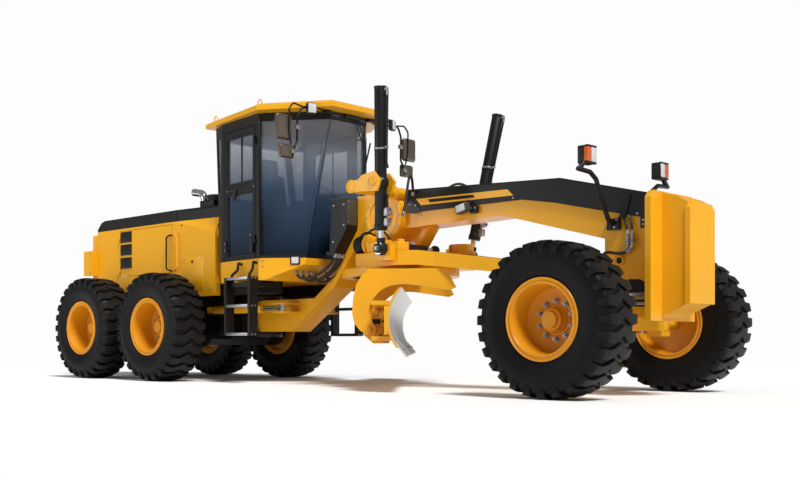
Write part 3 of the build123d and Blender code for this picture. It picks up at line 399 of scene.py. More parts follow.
def run(side, *points):
    """Points on one side of the machine, each given as a station, a distance out and a height."""
    return [at(station, side * out, height) for station, out, height in points]


def curve(name, points, radius):
    """A smooth curve with a round section that these points pull along."""
    data = bpy.data.curves.new(name, "CURVE")
    data.dimensions = "3D"
    data.bevel_depth = radius
    data.bevel_resolution = 3
    data.resolution_u = 5
    data.use_fill_caps = True
    spline = data.splines.new("NURBS")
    spline.points.add(len(points) - 1)
    for place, point in zip(points, spline.points):
        point.co = (*place, 1)
    spline.order_u = 3
    spline.use_endpoint_u = True
    return data


def pipe(shape, points, radius, bend=0.05):
    """Adds a bent metal tube to a piece: straight runs, with a short bend at each corner."""
    points = [Vector(p) for p in points]
    track = [points[0]]
    for before, corner, after in zip(points, points[1:], points[2:]):
        track.append(corner + (before - corner).normalized() * min(bend, (before - corner).length * 0.45))
        track.append(corner)
        track.append(corner + (after - corner).normalized() * min(bend, (after - corner).length * 0.45))
    data = curve("bent", track + [points[-1]], radius)
    holder = bpy.data.objects.new("bent", data)
    mesh = bpy.data.meshes.new_from_object(holder)
    shape.from_mesh(mesh)
    bpy.data.objects.remove(holder)
    bpy.data.curves.remove(data)
    bpy.data.meshes.remove(mesh)


def bolts(name, places, outward, size, body):
    """Hexagon bolts on washers at these points, all facing one way."""
    shape = bmesh.new()
    for place in places:
        place, out = Vector(place), Vector(outward).normalized()
        drum(shape, place - out * 0.002, place + out * size * 0.18, size * 1.15, size * 0.1, 20)
        drum(shape, place, place + out * size * 0.85, size, size * 0.12, 6)
    make(name, shape, zinc, body, 30)


hood_side = 0.62
louvre_rear = -0.812
louvre_long = 0.272
slat_pitch = 0.0265
louvre_heights = [(1.855, 2.005), (1.679, 1.829), (1.498, 1.648)]
for name, side in sides:
    body = f"engine_door_{name}"
    face = side * hood_side
    out = side * 0.001
    shape = bmesh.new()
    for low, high in louvre_heights:
        slab(shape, at(louvre_rear, face - out, low), at(louvre_rear + louvre_long, face + 7 * out, high),
             0.003)
        for count in range(5):
            z = low + 0.022 + count * slat_pitch
            lean = Matrix.Translation((0, face + 8 * out, z)) @ Matrix.Rotation(side * radians(35), 4, "X")
            slab(shape, at(louvre_rear + 0.018, -0.011, -0.0022),
                 at(louvre_rear + louvre_long - 0.018, 0.011, 0.0022), 0.001, lean, 1)
    make(f"door_louvres_{name}", shape, moulded, body, 30)

    handles = []
    for root, grip in ((0.385, 0.318), (0.475, 0.545)):
        handles.append(bmesh.new())
        pipe(handles[-1], [at(root, face - 2 * out, 1.88), at(root, face + 42 * out, 1.875),
                           at(grip, face + 42 * out, 1.85), at(grip, face + 42 * out, 1.44),
                           at(root, face + 42 * out, 1.415), at(root, face - 2 * out, 1.41)], 0.011)
    make(f"door_handle_{name}", handles[0], black, body)

    shape = handles[1]
    slab(shape, at(0.63, face - out, 1.145), at(1.045, face + 3.5 * out, 1.565), 0.0015)
    for z in (1.27, 1.86):
        slab(shape, at(1.29, face - side * 0.07, z - 0.05), at(1.312, face - side * 0.03, z + 0.05), 0.004)
    make(f"side_cover_{name}", shape, amber, "rear")

    shape = bmesh.new()
    drum(shape, at(0.828, face, 1.51), at(0.828, face + 8 * out, 1.51), 0.021, 0.003)
    drum(shape, at(0.60, face, 1.99), at(0.60, face + 6 * out, 1.99), 0.012, 0.002)
    for station in (-0.745, 0.475):
        slab(shape, at(station, face - 2 * out, 2.052), at(station + 0.012, face + 2 * out, 2.17), 0.0008)
    make(f"side_locks_{name}", shape, moulded, "rear")
    bolts(f"side_screws_{name}", [at(s, face + 3 * out, z) for s in (0.655, 1.02) for z in (1.17, 1.54)] +
          [at(s, face, z) for s in (-1.3, 1.2) for z in (1.15, 1.98)], (0, side, 0), 0.009, "rear")
    bolts(f"lamp_box_screws_{name}", [at(-1.435, side * 0.722, z) for z in (1.47, 1.74)], (0, side, 0),
          0.009, "rear")

# Tail lamps on the two boxes' rear faces: red over amber, each a block of coloured clear acrylic moulded
# with fine prisms inside.
def lens(name, code, glow):
    """A moulded lamp lens: clear plastic of one colour with a fine prism pattern."""
    made, tree, shader = material(name, Roughness=0.12, Coat_Weight=0.8, Coat_Roughness=0.04)
    base = linear(code)
    place = add(tree, "ShaderNodeTexCoord").outputs["Object"]
    ribs = add(tree, "ShaderNodeTexVoronoi", Vector=place, Scale=120.0).outputs["Distance"]
    tone = add(tree, "ShaderNodeMix", {"data_type": "RGBA"}, _0=ribs, _6=base,
               _7=tuple(c * glow for c in base[:3]) + (1,))
    bump = add(tree, "ShaderNodeBump", Strength=0.4, Distance=0.002, Height=ribs)
    plug(shader, Base_Color=tone.outputs[2], Normal=bump.outputs[0])
    return made


clear_lens = lens("clear_lamp_lens", "#E4E7EA", 0.7)
amber_lens = lens("amber_lamp_lens", "#E86414", 0.6)
red_lens = lens("red_lamp_lens", "#B01812", 0.6)
for name, side in sides:
    for kind, low, high, paint in (("red", 1.61, 1.74, red_lens), ("amber", 1.47, 1.60, amber_lens)):
        shape = bmesh.new()
        side_slab(shape, side, (-1.626, 0.615, low), (-1.608, 0.705, high), 0.007, 3)
        make(f"tail_lamp_{kind}_{name}", shape, paint, "rear")

# Behind the cover: plated rings round the exhaust elbow, and on the air cleaner's moulded box a row of
# ribs, a round lid and a sensor's block.
shape = bmesh.new()
for low, high, radius in ((2.203, 2.214, 0.085), (2.245, 2.262, 0.056), (2.30, 2.314, 0.054)):
    drum(shape, at(0.7, -0.33, low), at(0.7, -0.33, high), radius, 0.003, 40)
make("exhaust_clamps", shape, zinc, "rear")
shape = bmesh.new()
rib_pitch = 0.045
for count in range(6):
    x = x_at(0.82) + count * rib_pitch
    slab(shape, (x, -0.484, 2.207), (x + 0.012, -0.176, 2.297), 0.003)
drum(shape, at(0.94, -0.33, 2.34), at(0.94, -0.33, 2.372), 0.118, 0.012, 40)
slab(shape, at(1.12, -0.43, 2.205), at(1.2, -0.34, 2.245), 0.008)
make("air_box_ribs", shape, moulded, "rear")

# Cab glass: thick tinted panes that let the seat and controls be seen through them. Their colour runs from
# dark blue low down to pale sky colours high up, and they let more through high up: this is a painted
# reflection of ground and sky, set by height; a real pane has one tint.
glass, tree, shader = material("tinted_glass_painted_reflection", Roughness=0.04, Specular_IOR_Level=0.45)
place = add(tree, "ShaderNodeTexCoord").outputs["Object"]
height = add(tree, "ShaderNodeSeparateXYZ", Vector=place).outputs["Z"]
up = add(tree, "ShaderNodeMapRange", {"clamp": True}, Value=height, From_Min=1.45, From_Max=3.05).outputs[0]
# Painted reflection: dark blue low down, pale sky colours high up, and clearer higher, all by height.
tint = add(tree, "ShaderNodeValToRGB", Fac=up)
tint.color_ramp.elements[0].color = linear("#07192A")
tint.color_ramp.elements[1].color = linear("#A9AFBA")
tint.color_ramp.elements.new(0.5).color = linear("#3F5570")
clear = add(tree, "ShaderNodeMapRange", Value=up, To_Min=0.84, To_Max=0.30)
plug(shader, Base_Color=tint.outputs["Color"], Alpha=clear.outputs[0])
for name in ("cab_glass", "door_glass_right", "door_glass_left"):
    finish_node(name, glass, 0)

# Front posts: the side pane and the windscreen are bonded over them and meet at a thin joint, so their
# tinted edges hide the post. The edge band is the same glass with a dark print behind it, so it is opaque;
# its colours, dark low down and paler high up, are the same painted reflection by height as the panes'.
glass_edge = glass.copy()
glass_edge.name = "printed_glass_edge_painted_reflection"
tree = glass_edge.node_tree
shader = tree.nodes["Principled BSDF"]
tree.links.remove(shader.inputs["Alpha"].links[0])
plug(shader, Alpha=1.0)
# Painted reflection: the band's stops run dark low down to paler high up, by height.
for stop, code in zip(tree.nodes["Color Ramp"].color_ramp.elements, ("#0B1C2C", "#33465B", "#767C86")):
    stop.color = linear(code)


def plate(shape, corners, rise):
    """A flat plate: one face through these corners, made thick by the vector."""
    face = shape.faces.new([shape.verts.new(corner) for corner in corners])
    grown = bmesh.ops.extrude_face_region(shape, geom=[face], use_keep_orig=True)["geom"]
    bmesh.ops.translate(shape, vec=rise, verts=[g for g in grown if isinstance(g, bmesh.types.BMVert)])


for name, side in sides:
    foot = Vector(at(2.7882, side * 0.46905, 1.502))
    head = Vector(at(2.9996, side * 0.2999, 3.036))
    shape = bmesh.new()
    for along, wide in ((Vector((-0.7805, side * 0.625, 0)), 0.034), (Vector((0, -side, 0)), 0.026)):
        out = along.cross(head - foot).normalized()
        out = out if out.x > 0 else -out
        plate(shape, [end + along * far + out * 0.0005 for end, far in
                      ((foot, 0.0035), (foot, wide), (head, wide), (head, 0.0035))], out * 0.0025)
    make(f"glass_edge_{name}", shape, glass_edge, "rear", 30)

# Cab doors: pane frames, latches and lock covers moulded in black plastic and bolted on. Each is laid out
# on the door's own plane and then turned to it: along it from its rear corner, out from its face, and up.
for name, side in sides:
    body = f"cab_door_{name}"
    to_door = Matrix(((0.9923, -0.1240, 0, x_at(1.550)), (side * 0.1240, side * 0.9923, 0, side * 0.720),
                      (0, 0, 1, 0), (0, 0, 0, 1)))
    shape = bmesh.new()
    for x0, x1, z0, z1 in (
        (0.124, 0.140, 2.365, 2.925), (0.666, 0.682, 2.365, 2.925), (0.124, 0.682, 2.365, 2.383),
        (0.124, 0.682, 2.907, 2.925), (0.418, 0.436, 2.365, 2.925), (0.124, 0.136, 1.50, 2.245),
        (0.670, 0.682, 1.50, 2.245), (0.124, 0.682, 1.50, 1.514), (0.124, 0.682, 2.231, 2.245),
    ):
        slab(shape, (x0, -0.019, z0), (x1, -0.006, z1), 0.003, to_door)
    slab(shape, (0.185, 0.001, 2.275), (0.335, 0.020, 2.305), 0.006, to_door)
    slab(shape, (0.275, 0.001, 2.17), (0.325, 0.016, 2.30), 0.007, to_door)
    slab(shape, (0.664, 0.001, 1.52), (0.722, 0.045, 1.71), 0.018, to_door, 3)
    slab(shape, (0.080, 0.001, 1.56), (0.118, 0.022, 1.70), 0.006, to_door)
    before = set(shape.verts)
    drum(shape, (0.30, 0.01, 2.215), (0.30, 0.034, 2.215), 0.030, 0.006)
    bmesh.ops.transform(shape, matrix=to_door, verts=[v for v in shape.verts if v not in before])
    make(f"door_fittings_{name}", shape, moulded, body)
    bolts(f"door_bolts_{name}", [to_door @ Vector(p) for p in (
        (0.675, 0.03, 1.735), (0.10, 0.02, 1.59), (0.10, 0.02, 1.67), (0.12, 0.001, 2.30),
        (0.70, 0.001, 2.30))], (-0.124, side * 0.992, 0), 0.008, body)

# Mirrors: bent tube arms carry a large and a small one on each side. Their shells are moulded in smoked
# bronze plastic, satin and slightly metallic, and clamped on; the glass is silvered on their rear faces.
bronze = enamel("smoked_bronze_plastic", "#6B5F55", "#5A5248", 0.30, 0.3, Metallic=0.6)
shape = bmesh.new()
for side in (-1, 1):
    pipe(shape, run(side, (3.0, 0.35, 3.10), (3.03, 0.60, 3.15), (3.06, 0.80, 3.08), (3.05, 0.86, 2.98),
                    (3.045, 0.86, 2.70), (3.045, 0.90, 2.64), (3.04, 0.93, 2.52)), 0.012, 0.07)
    pipe(shape, run(side, (2.99, 0.42, 3.09), (3.02, 0.66, 3.09), (3.05, 0.92, 3.12), (3.055, 0.985, 3.05),
                    (3.05, 0.985, 2.80), (3.045, 0.95, 2.66)), 0.010, 0.06)
    slab(shape, at(2.992, side * 0.35 - 0.05, 3.087), at(3.038, side * 0.35 + 0.05, 3.1295), 0.006)
arms = make("mirror_arms", shape, black, "rear")
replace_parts(arms, "cab_mirrors")
shape = bmesh.new()
for side in (-1, 1):
    for y0, y1, z0, z1, fat in ((0.925, 1.155, 2.705, 2.985, 0.034), (0.890, 1.105, 2.505, 2.66, 0.030)):
        side_slab(shape, side, (2.985, y0, z0), (3.045, y1, z1), fat, 5)
make("mirror_shells", shape, bronze, "rear")
shape = bmesh.new()
for side in (-1, 1):
    for y0, y1, z0, z1 in ((0.955, 1.125, 2.735, 2.955), (0.915, 1.080, 2.530, 2.635)):
        side_slab(shape, side, (2.9815, y0, z0), (2.987, y1, z1), 0.0025)
make("mirror_glass", shape, chrome, "rear")
shape = bmesh.new()
for side in (-1, 1):
    for y, z in ((0.86, 2.86), (0.93, 2.585)):
        side_slab(shape, side, (3.03, y - 0.03, z - 0.025), (3.066, y + 0.03, z + 0.025), 0.006)
make("mirror_clamps", shape, zinc, "rear")

# Work lamps on bent tubes under the roof's front corners, and square ones bolted to the skirt: black
# moulded housings with clear acrylic lenses.
for name, side in sides:
    frames, panes = bmesh.new(), bmesh.new()
    high = Matrix.Translation(at(3.10, side * 0.68, 3.09)) @ Matrix.Rotation(side * radians(20), 4, "Z")
    slab(frames, (-0.055, -0.056, -0.062), (0.0, 0.056, 0.062), 0.010, high)
    slab(panes, (-0.004, -0.047, -0.052), (0.009, 0.047, 0.052), 0.006, high)
    pipe(frames, run(side, (2.96, 0.35, 3.12), (3.02, 0.55, 3.155), (3.07, 0.66, 3.155), (3.075, 0.68, 3.13)),
         0.008, 0.03)
    low = Matrix.Translation(at(2.685, side * 0.5565, 1.425)) @ Matrix.Rotation(side * radians(51.3), 4, "Z")
    slab(frames, (-0.020, -0.058, -0.052), (0.012, 0.058, 0.052), 0.010, low)
    slab(panes, (0.005, -0.042, -0.037), (0.017, 0.042, 0.037), 0.006, low)
    make(f"work_lamp_frames_{name}", frames, moulded, "rear")
    make(f"work_lamp_lenses_{name}", panes, clear_lens, "rear")

# Wiper on the windscreen: a moulded motor cover, twin bent steel arms and a rubber blade, all black, with
# four plated bolts in the header above.
shape = bmesh.new()
slab(shape, at(3.008, -0.08, 3.085), at(3.035, 0.16, 3.125), 0.008)
pipe(shape, [at(3.026, 0.06, 3.10), at(2.992, 0.24, 2.84), at(2.962, 0.32, 2.62)], 0.0065, 0.03)
pipe(shape, [at(3.026, 0.12, 3.10), at(2.992, 0.29, 2.84), at(2.962, 0.33, 2.62)], 0.0065, 0.03)
blade_lean = Matrix.Translation(at(2.951, 0.34, 2.60)) @ Matrix.Rotation(radians(7.8), 4, "Y") \
    @ Matrix.Rotation(radians(-10), 4, "X")
slab(shape, (-0.006, -0.008, -0.24), (0.010, 0.008, 0.26), 0.003, blade_lean)
make("windscreen_wiper", shape, moulded, "rear")
bolts("header_bolts", [at(3.013, side * y, 3.085) for side in (-1, 1) for y in (0.20, 0.25)],
      (1, 0, -0.13), 0.008, "rear")

# Roof: four lifting eyes near its corners, hoops bent from thin round steel bar, welded on and painted
# amber with it.
shape = bmesh.new()
for side in (-1, 1):
    for station, y in ((2.42, 0.86), (1.36, 0.66)):
        pipe(shape, [at(station + ahead, side * y, z) for ahead, z in (
            (-0.03, 3.20), (-0.035, 3.245), (0, 3.275), (0.035, 3.245), (0.03, 3.20))], 0.007, 0.02)
make("roof_eyes", shape, amber, "rear")

# Steps: bent steel hand tubes from the skirt to the top tread, plated strips and cleats on each tread's
# worn edge, and plated bolts.
tread_heights = (0.575, 0.905, 1.225)
cleat_pitch = 0.047
for name, side in sides:
    shape = bmesh.new()
    for station, y in ((1.99, 0.795), (2.31, 0.835)):
        pipe(shape, [at(station, side * (y - 0.02), 1.40), at(station, side * (y + 0.03), 1.415),
                     at(station - 0.01, side * (y + 0.035), 1.33), at(station - 0.05, side * 0.885, 1.27),
                     at(station - 0.05, side * 0.885, 1.235)], 0.016, 0.04)
    make(f"step_tubes_{name}", shape, black, "rear")
    shape = bmesh.new()
    for z in tread_heights:
        side_slab(shape, side, (1.912, 0.940, z - 0.017), (2.298, 0.9495, z + 0.017), 0.003)
        for count in range(8):
            x = x_at(1.93) + count * cleat_pitch
            slab(shape, (x, side * 0.885 - 0.052, z + 0.013), (x + 0.012, side * 0.885 + 0.052, z + 0.019),
                 0.002)
    make(f"tread_strips_{name}", shape, zinc, "rear")
    bolts(f"step_bolts_{name}", [at(2.338, side * y, z) for y in (0.862, 0.912) for z in tread_heights],
          (1, 0, 0), 0.010, "rear")
    bolts(f"skirt_bolts_{name}", [at(2.385, side * 0.7915, z) for z in (1.36, 1.42)],
          (0.625, side * 0.78, 0), 0.010, "rear")

# Seat: crowned foam blocks for the base, the back and the head, in woven cloth with two sewn seams each.
# They are stuffed here vertex by vertex, and sit on the console's pedestal.
cloth, tree, shader = material("woven_seat_cloth", Roughness=0.9, Sheen_Weight=0.3)
place = add(tree, "ShaderNodeTexCoord").outputs["Object"]
weave = add(tree, "ShaderNodeTexChecker", Vector=place, Scale=420.0, Color1=linear("#2E3138"),
            Color2=linear("#22242A"))
bump = add(tree, "ShaderNodeBump", Strength=0.5, Distance=0.001, Height=weave.outputs["Fac"])
plug(shader, Base_Color=weave.outputs["Color"], Normal=bump.outputs[0])


def cushion(shape, size, crown, turn):
    """A stuffed block: its faces swell to a crown, with two seams pressed in across its upper face."""
    block = bmesh.new()
    bmesh.ops.create_cube(block, size=1)
    bmesh.ops.subdivide_edges(block, edges=block.edges[:], cuts=15, use_grid_fill=True)
    for vert in block.verts:
        p = vert.co * 2
        round_off = Vector((p.x * (1 - 0.10 * max(p.y ** 4, p.z ** 4)),
                            p.y * (1 - 0.10 * max(p.x ** 4, p.z ** 4)),
                            p.z * (1 - 0.14 * max(p.x ** 4, p.y ** 4))))
        swell = (1 - p.x ** 2) * (1 - p.y ** 2) * crown
        seam = 0.010 * sum(max(0, 1 - abs(p.y - s) / 0.09) for s in (-0.62, 0.62)) if p.z > 0.9 else 0
        vert.co = Vector((round_off.x * size[0] / 2, round_off.y * size[1] / 2,
                          round_off.z * size[2] / 2 + (swell - seam if p.z > 0 else 0)))
    bmesh.ops.transform(block, matrix=turn, verts=block.verts)
    mesh = bpy.data.meshes.new("block")
    block.to_mesh(mesh)
    block.free()
    shape.from_mesh(mesh)
    bpy.data.meshes.remove(mesh)


shape = bmesh.new()
cushion(shape, (0.50, 0.48, 0.13), 0.025, Matrix.Translation(at(1.88, 0, 1.905)))
recline = Matrix.Rotation(radians(81), 4, "Y")
cushion(shape, (0.64, 0.45, 0.11), 0.02, Matrix.Translation(at(1.648, 0, 2.275)) @ recline)
cushion(shape, (0.20, 0.28, 0.09), 0.015, Matrix.Translation(at(1.585, 0, 2.68)) @ recline)
seat = make("stuffed_seat", shape, cloth, "rear", 60)
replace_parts(seat, "seat_cushions")
finish_node("seat_cushions", cloth, 0)

# Controls: lever banks on both sides of the column, armrests, a screen, the headrest's two posts, the
# seat's pedestal and a side console, all in black moulded plastic.
shape = bmesh.new()
for side in (-1, 1):
    for count in range(5):
        x, y = x_at(2.43 + 0.035 * count), side * (0.115 + 0.012 * count)
        pipe(shape, [(x, y, 2.05), (x - 0.01, y, 2.15), (x - 0.03, y + side * 0.01, 2.24)], 0.0055, 0.02)
        drum(shape, (x - 0.03, y + side * 0.01, 2.225), (x - 0.034, y + side * 0.01, 2.285), 0.014, 0.005, 16,
             0.011)
    slab(shape, at(1.70, side * 0.295 - 0.045, 2.08), at(2.05, side * 0.295 + 0.045, 2.13), 0.018, None, 3)
    pipe(shape, run(side, (1.585, 0.07, 2.55), (1.575, 0.07, 2.70)), 0.007)
    pipe(shape, run(side, (1.72, 0.22, 1.92), (1.70, 0.295, 2.0), (1.72, 0.295, 2.1)), 0.016)
slab(shape, at(2.60, -0.30, 2.02), at(2.64, -0.06, 2.20), 0.012)
slab(shape, at(1.64, -0.26, 1.60), at(2.10, 0.26, 1.82), 0.05, None, 3)
slab(shape, at(1.60, -0.46, 1.457), at(2.0, -0.30, 1.95), 0.03, None, 3)
make("cab_levers_and_console", shape, moulded, "rear")

# Hydraulic hose: black rubber over braid, wound in a fine spiral. Each end is crimped into a zinc-plated
# steel ferrule with a hexagon behind it.
hose_rubber, tree, shader = material("wound_hose_rubber", Base_Color=linear("#121213"), Roughness=0.38)
place = add(tree, "ShaderNodeTexCoord").outputs["UV"]
wave = add(tree, "ShaderNodeTexWave", {"bands_direction": "X"}, Vector=place, Scale=60.0, Distortion=0.4)
bump = add(tree, "ShaderNodeBump", Strength=0.35, Distance=0.002, Height=wave.outputs["Fac"])
plug(shader, Normal=bump.outputs[0])


def hose(name, points, radius, body, to=None):
    """A free hose from fitting to fitting along these points.
    One that crosses a hinge goes from its body to another, and is made a mesh tube that is on neither body."""
    data = curve(name, points, radius)
    data.materials.append(hose_rubber)
    made = stand(name, data)
    data.bevel_depth = 0
    bare = bpy.data.meshes.new_from_object(made)
    bpy.data.meshes.remove(bare)
    data.bevel_depth = radius
    if to is None:
        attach(made, body)
    else:
        tube = bpy.data.meshes.new_from_object(made)
        bpy.data.objects.remove(made)
        tube.shade_smooth()
        made = stand(name, tube)
        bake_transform(made)
    for label, end, inner, on in (("start", points[0], points[1], body),
                                  ("end", points[-1], points[-2], to or body)):
        shape = bmesh.new()
        end = Vector(end)
        out = (Vector(inner) - end).normalized()
        drum(shape, end - out * 0.004, end + out * radius * 2.6, radius * 1.22, 0.002, 16)
        drum(shape, end - out * 0.006, end + out * radius * 0.7, radius * 1.5, 0.002, 6)
        make(f"{name}_fitting_{label}", shape, zinc, on, 30)


# Lift cylinders: black steel barrels with caps screwed on their ends, a plated clamp band, a black oil pipe
# down the front from a bright elbow, and a plated lock valve. All is laid out along the CAD's own axis.
def on_lift(side, z, ahead=0.0):
    """A point on a lift cylinder's axis at a height, or this far ahead of it."""
    foot = Vector(at(4.2, side * 0.75, 1.45))
    return foot + Vector((0.1269, side * 0.1433, 1)) * (z - 1.45) + Vector((ahead, 0, 0))


grey_enamel = enamel("grey_brown_enamel", "#45413B", "#5A5650", 0.45, 0.1)
for name, side in sides:
    body = f"lift_barrel_{name}"
    shape = bmesh.new()
    for low, high, radius, ease in ((3.02, 3.056, 0.066, 0.012), (1.636, 1.70, 0.068, 0.006),
                                    (2.42, 2.44, 0.0655, 0.003)):
        drum(shape, on_lift(side, low), on_lift(side, high), radius, ease, 40)
    slab(shape, on_lift(side, 2.98, 0.045) - Vector((0.0, 0.018, 0.018)),
         on_lift(side, 2.98, 0.078) + Vector((0.0, 0.018, 0.018)), 0.006)
    make(f"lift_barrel_caps_{name}", shape, black, body)
    shape = bmesh.new()
    drum(shape, on_lift(side, 2.443), on_lift(side, 2.462), 0.0670, 0.004, 40)
    slab(shape, on_lift(side, 2.452, 0.060) - Vector((0, 0.014, 0.010)),
         on_lift(side, 2.452, 0.100) + Vector((0, 0.014, 0.010)), 0.004)
    pipe(shape, [on_lift(side, 3.00, 0.05), on_lift(side, 3.03, 0.09), on_lift(side, 2.95, 0.096)], 0.014, 0.03)
    for z in (1.70, 1.80):
        slab(shape, on_lift(side, z, 0.060) - Vector((0, 0.030, 0.030)),
             on_lift(side, z, 0.120) + Vector((0, 0.030, 0.055)), 0.008)
    drum(shape, on_lift(side, 1.80, 0.115), on_lift(side, 1.80, 0.15), 0.016, 0.003, 6)
    make(f"lift_valve_{name}", shape, zinc, body)
    shape = bmesh.new()
    pipe(shape, [on_lift(side, 2.97, 0.096), on_lift(side, 2.6, 0.088), on_lift(side, 2.30, 0.082),
                 on_lift(side, 2.245, 0.10)], 0.011, 0.05)
    pipe(shape, [on_lift(side, 1.86, 0.09), on_lift(side, 1.93, 0.088), on_lift(side, 1.99, 0.095)],
         0.012, 0.04)
    make(f"lift_oil_pipe_{name}", shape, black, body)
    body = f"lift_rod_{name}"
    shape = bmesh.new()
    drum(shape, *run(side, (4.2, 0.795, 1.45), (4.2, 0.818, 1.45)), 0.052, 0.006, 32)
    drum(shape, on_lift(side, 1.505), on_lift(side, 1.56), 0.046, 0.008, 32)
    drum(shape, *run(side, (4.2, 0.718, 1.45), (4.2, 0.794, 1.45)), 0.070, 0.010, 40)
    make(f"rod_eye_shell_{name}", shape, moulded, body)
    bolts(f"rod_eye_bolt_{name}", run(side, (4.2, 0.818, 1.45)), (0, side, 0), 0.024, body)

# Lift yoke: turned pin heads and round caps on the outer plates and rings welded at the cross tube's
# ends, all amber, with three plated bolts in each pin head.
shape = bmesh.new()
for side in (-1, 1):
    pivot = on_lift(side, 2.11)
    drum(shape, (pivot.x, side * 0.969, 2.11), (pivot.x, side * 0.984, 2.11), 0.052, 0.005, 36)
    drum(shape, *run(side, (3.98, 0.966, 2.09), (3.98, 0.974, 2.09)), 0.070, 0.004, 40)
    drum(shape, *run(side, (3.98, 0.30, 2.09), (3.98, 0.33, 2.09)), 0.076, 0.006, 40)
make("yoke_pin_heads", shape, amber, "front")
for name, side in sides:
    pivot = on_lift(side, 2.11)
    bolts(f"yoke_bolts_{name}", [(pivot.x + 0.035 * cos(t), side * 0.984, 2.11 + 0.035 * sin(t))
                                 for t in (0.5, 2.6, 4.7)], (0, side, 0), 0.008, "front")

# Saddle: two turned steel rings on both faces of the tower's big disc, the outer one held by twelve
# plated bolts.
for name, side in sides:
    shape = bmesh.new()
    spun(shape, [(0.205, 0.236), (0.205, 0.246), (0.212, 0.250), (0.262, 0.250), (0.270, 0.246),
                 (0.270, 0.236)], 64)
    spun(shape, [(0.06, 0.236), (0.06, 0.252), (0.068, 0.256), (0.115, 0.256), (0.122, 0.252),
                 (0.122, 0.236)], 48)
    move(shape, side, 3.77, 0, 1.857)
    make(f"saddle_rings_{name}", shape, amber, "front", 35)
    bolts(f"saddle_bolts_{name}", [
        (x_at(3.77) + 0.238 * cos(t * pi / 6), side * 0.249, 1.857 + 0.238 * sin(t * pi / 6))
        for t in range(12)], (0, side, 0), 0.011, "front")

# Valve box: a black sheet cabinet. Its lid and the two covers on its front are enamelled grey-brown and
# held by plated bolts.
shape = bmesh.new()
for side in (-1, 1):
    side_slab(shape, side, (3.309, 0.185, 1.80), (3.3145, 0.349, 2.09), 0.0025)
slab(shape, at(3.07, -0.354, 2.092), at(3.313, 0.354, 2.104), 0.005)
make("valve_box_covers", shape, grey_enamel, "front")
for name, side in sides:
    bolts(f"valve_box_bolts_{name}", [at(station, side * 0.351, z) for station, z in (
        (3.27, 2.03), (3.27, 1.80), (3.11, 2.03), (3.10, 1.62))], (0, side, 0), 0.011, "front")
bolts("valve_box_front_bolts", [at(3.3155, side * 0.325, z) for side in (-1, 1) for z in (1.83, 2.06)],
      (1, 0, 0), 0.009, "front")

# Beam: plain amber stripes and black plates along its sides, with bolts, a small side lamp in a grey-brown
# shell and a welded stop near the leg.
def side_plate(shape, corners, side, inner, thick):
    """A flat plate on a side face, its outline given as (station, height) corners."""
    plate(shape, [at(s, side * inner, z) for s, z in corners], (0, side * thick, 0))


for name, side in sides:
    shape = bmesh.new()
    side_plate(shape, [(4.20, 2.012), (5.38, 1.992), (5.45, 1.925), (4.27, 1.94)], side, 0.1962, 0.0012)
    make(f"beam_stripe_{name}", shape, amber, "front", 30)
    shape = bmesh.new()
    side_plate(shape, [(4.36, 1.993), (4.955, 1.983), (4.985, 1.951), (4.395, 1.958)], side, 0.1976, 0.0008)
    side_plate(shape, [(4.075, 1.985), (4.145, 2.00), (4.28, 1.885), (4.20, 1.855), (4.075, 1.875)], side,
               0.1970, 0.008)
    side_plate(shape, [(6.60, 1.60), (6.665, 1.60), (6.72, 1.80), (6.68, 1.81)], side, 0.1965, 0.014)
    side_slab(shape, side, (4.93, 0.181, 1.79), (5.02, 0.215, 1.865), 0.006)
    side_plate(shape, [(6.80, 1.50), (6.86, 1.50), (6.86, 1.60), (6.80, 1.60)], side, 0.171, 0.012)
    make(f"beam_brackets_{name}", shape, black, "front", 30)
    lamp_turn = Matrix.Translation(at(4.87, side * 0.245, 1.85)) @ Matrix.Rotation(radians(-14), 4, "Y")
    shape = bmesh.new()
    slab(shape, (-0.075, -0.045, -0.05), (0.065, 0.045, 0.045), 0.012, lamp_turn, 3)
    make(f"beam_lamp_{name}", shape, grey_enamel, "front")
    shape = bmesh.new()
    lens_turn = lamp_turn @ Matrix.Diagonal((1, side, 1, 1))
    slab(shape, (-0.060, 0.040, -0.038), (0.050, 0.051, 0.033), 0.005, lens_turn)
    make(f"beam_lamp_lens_{name}", shape, clear_lens, "front")
    bolts(f"beam_bolts_{name}", [at(s, side * y, z) for s, y, z in (
        (4.12, 0.205, 1.96), (4.20, 0.205, 1.945), (4.20, 0.171, 1.835), (4.25, 0.171, 1.835),
        (4.95, 0.215, 1.845), (5.00, 0.215, 1.845), (5.45, 0.197, 1.90), (6.78, 0.197, 1.63),
        (6.83, 0.183, 1.57), (6.83, 0.183, 1.53), (6.47, 0.2255, 1.52), (6.57, 0.2255, 1.52),
        (6.59, 0.2255, 1.585))], (0, side, 0), 0.0095, "front")
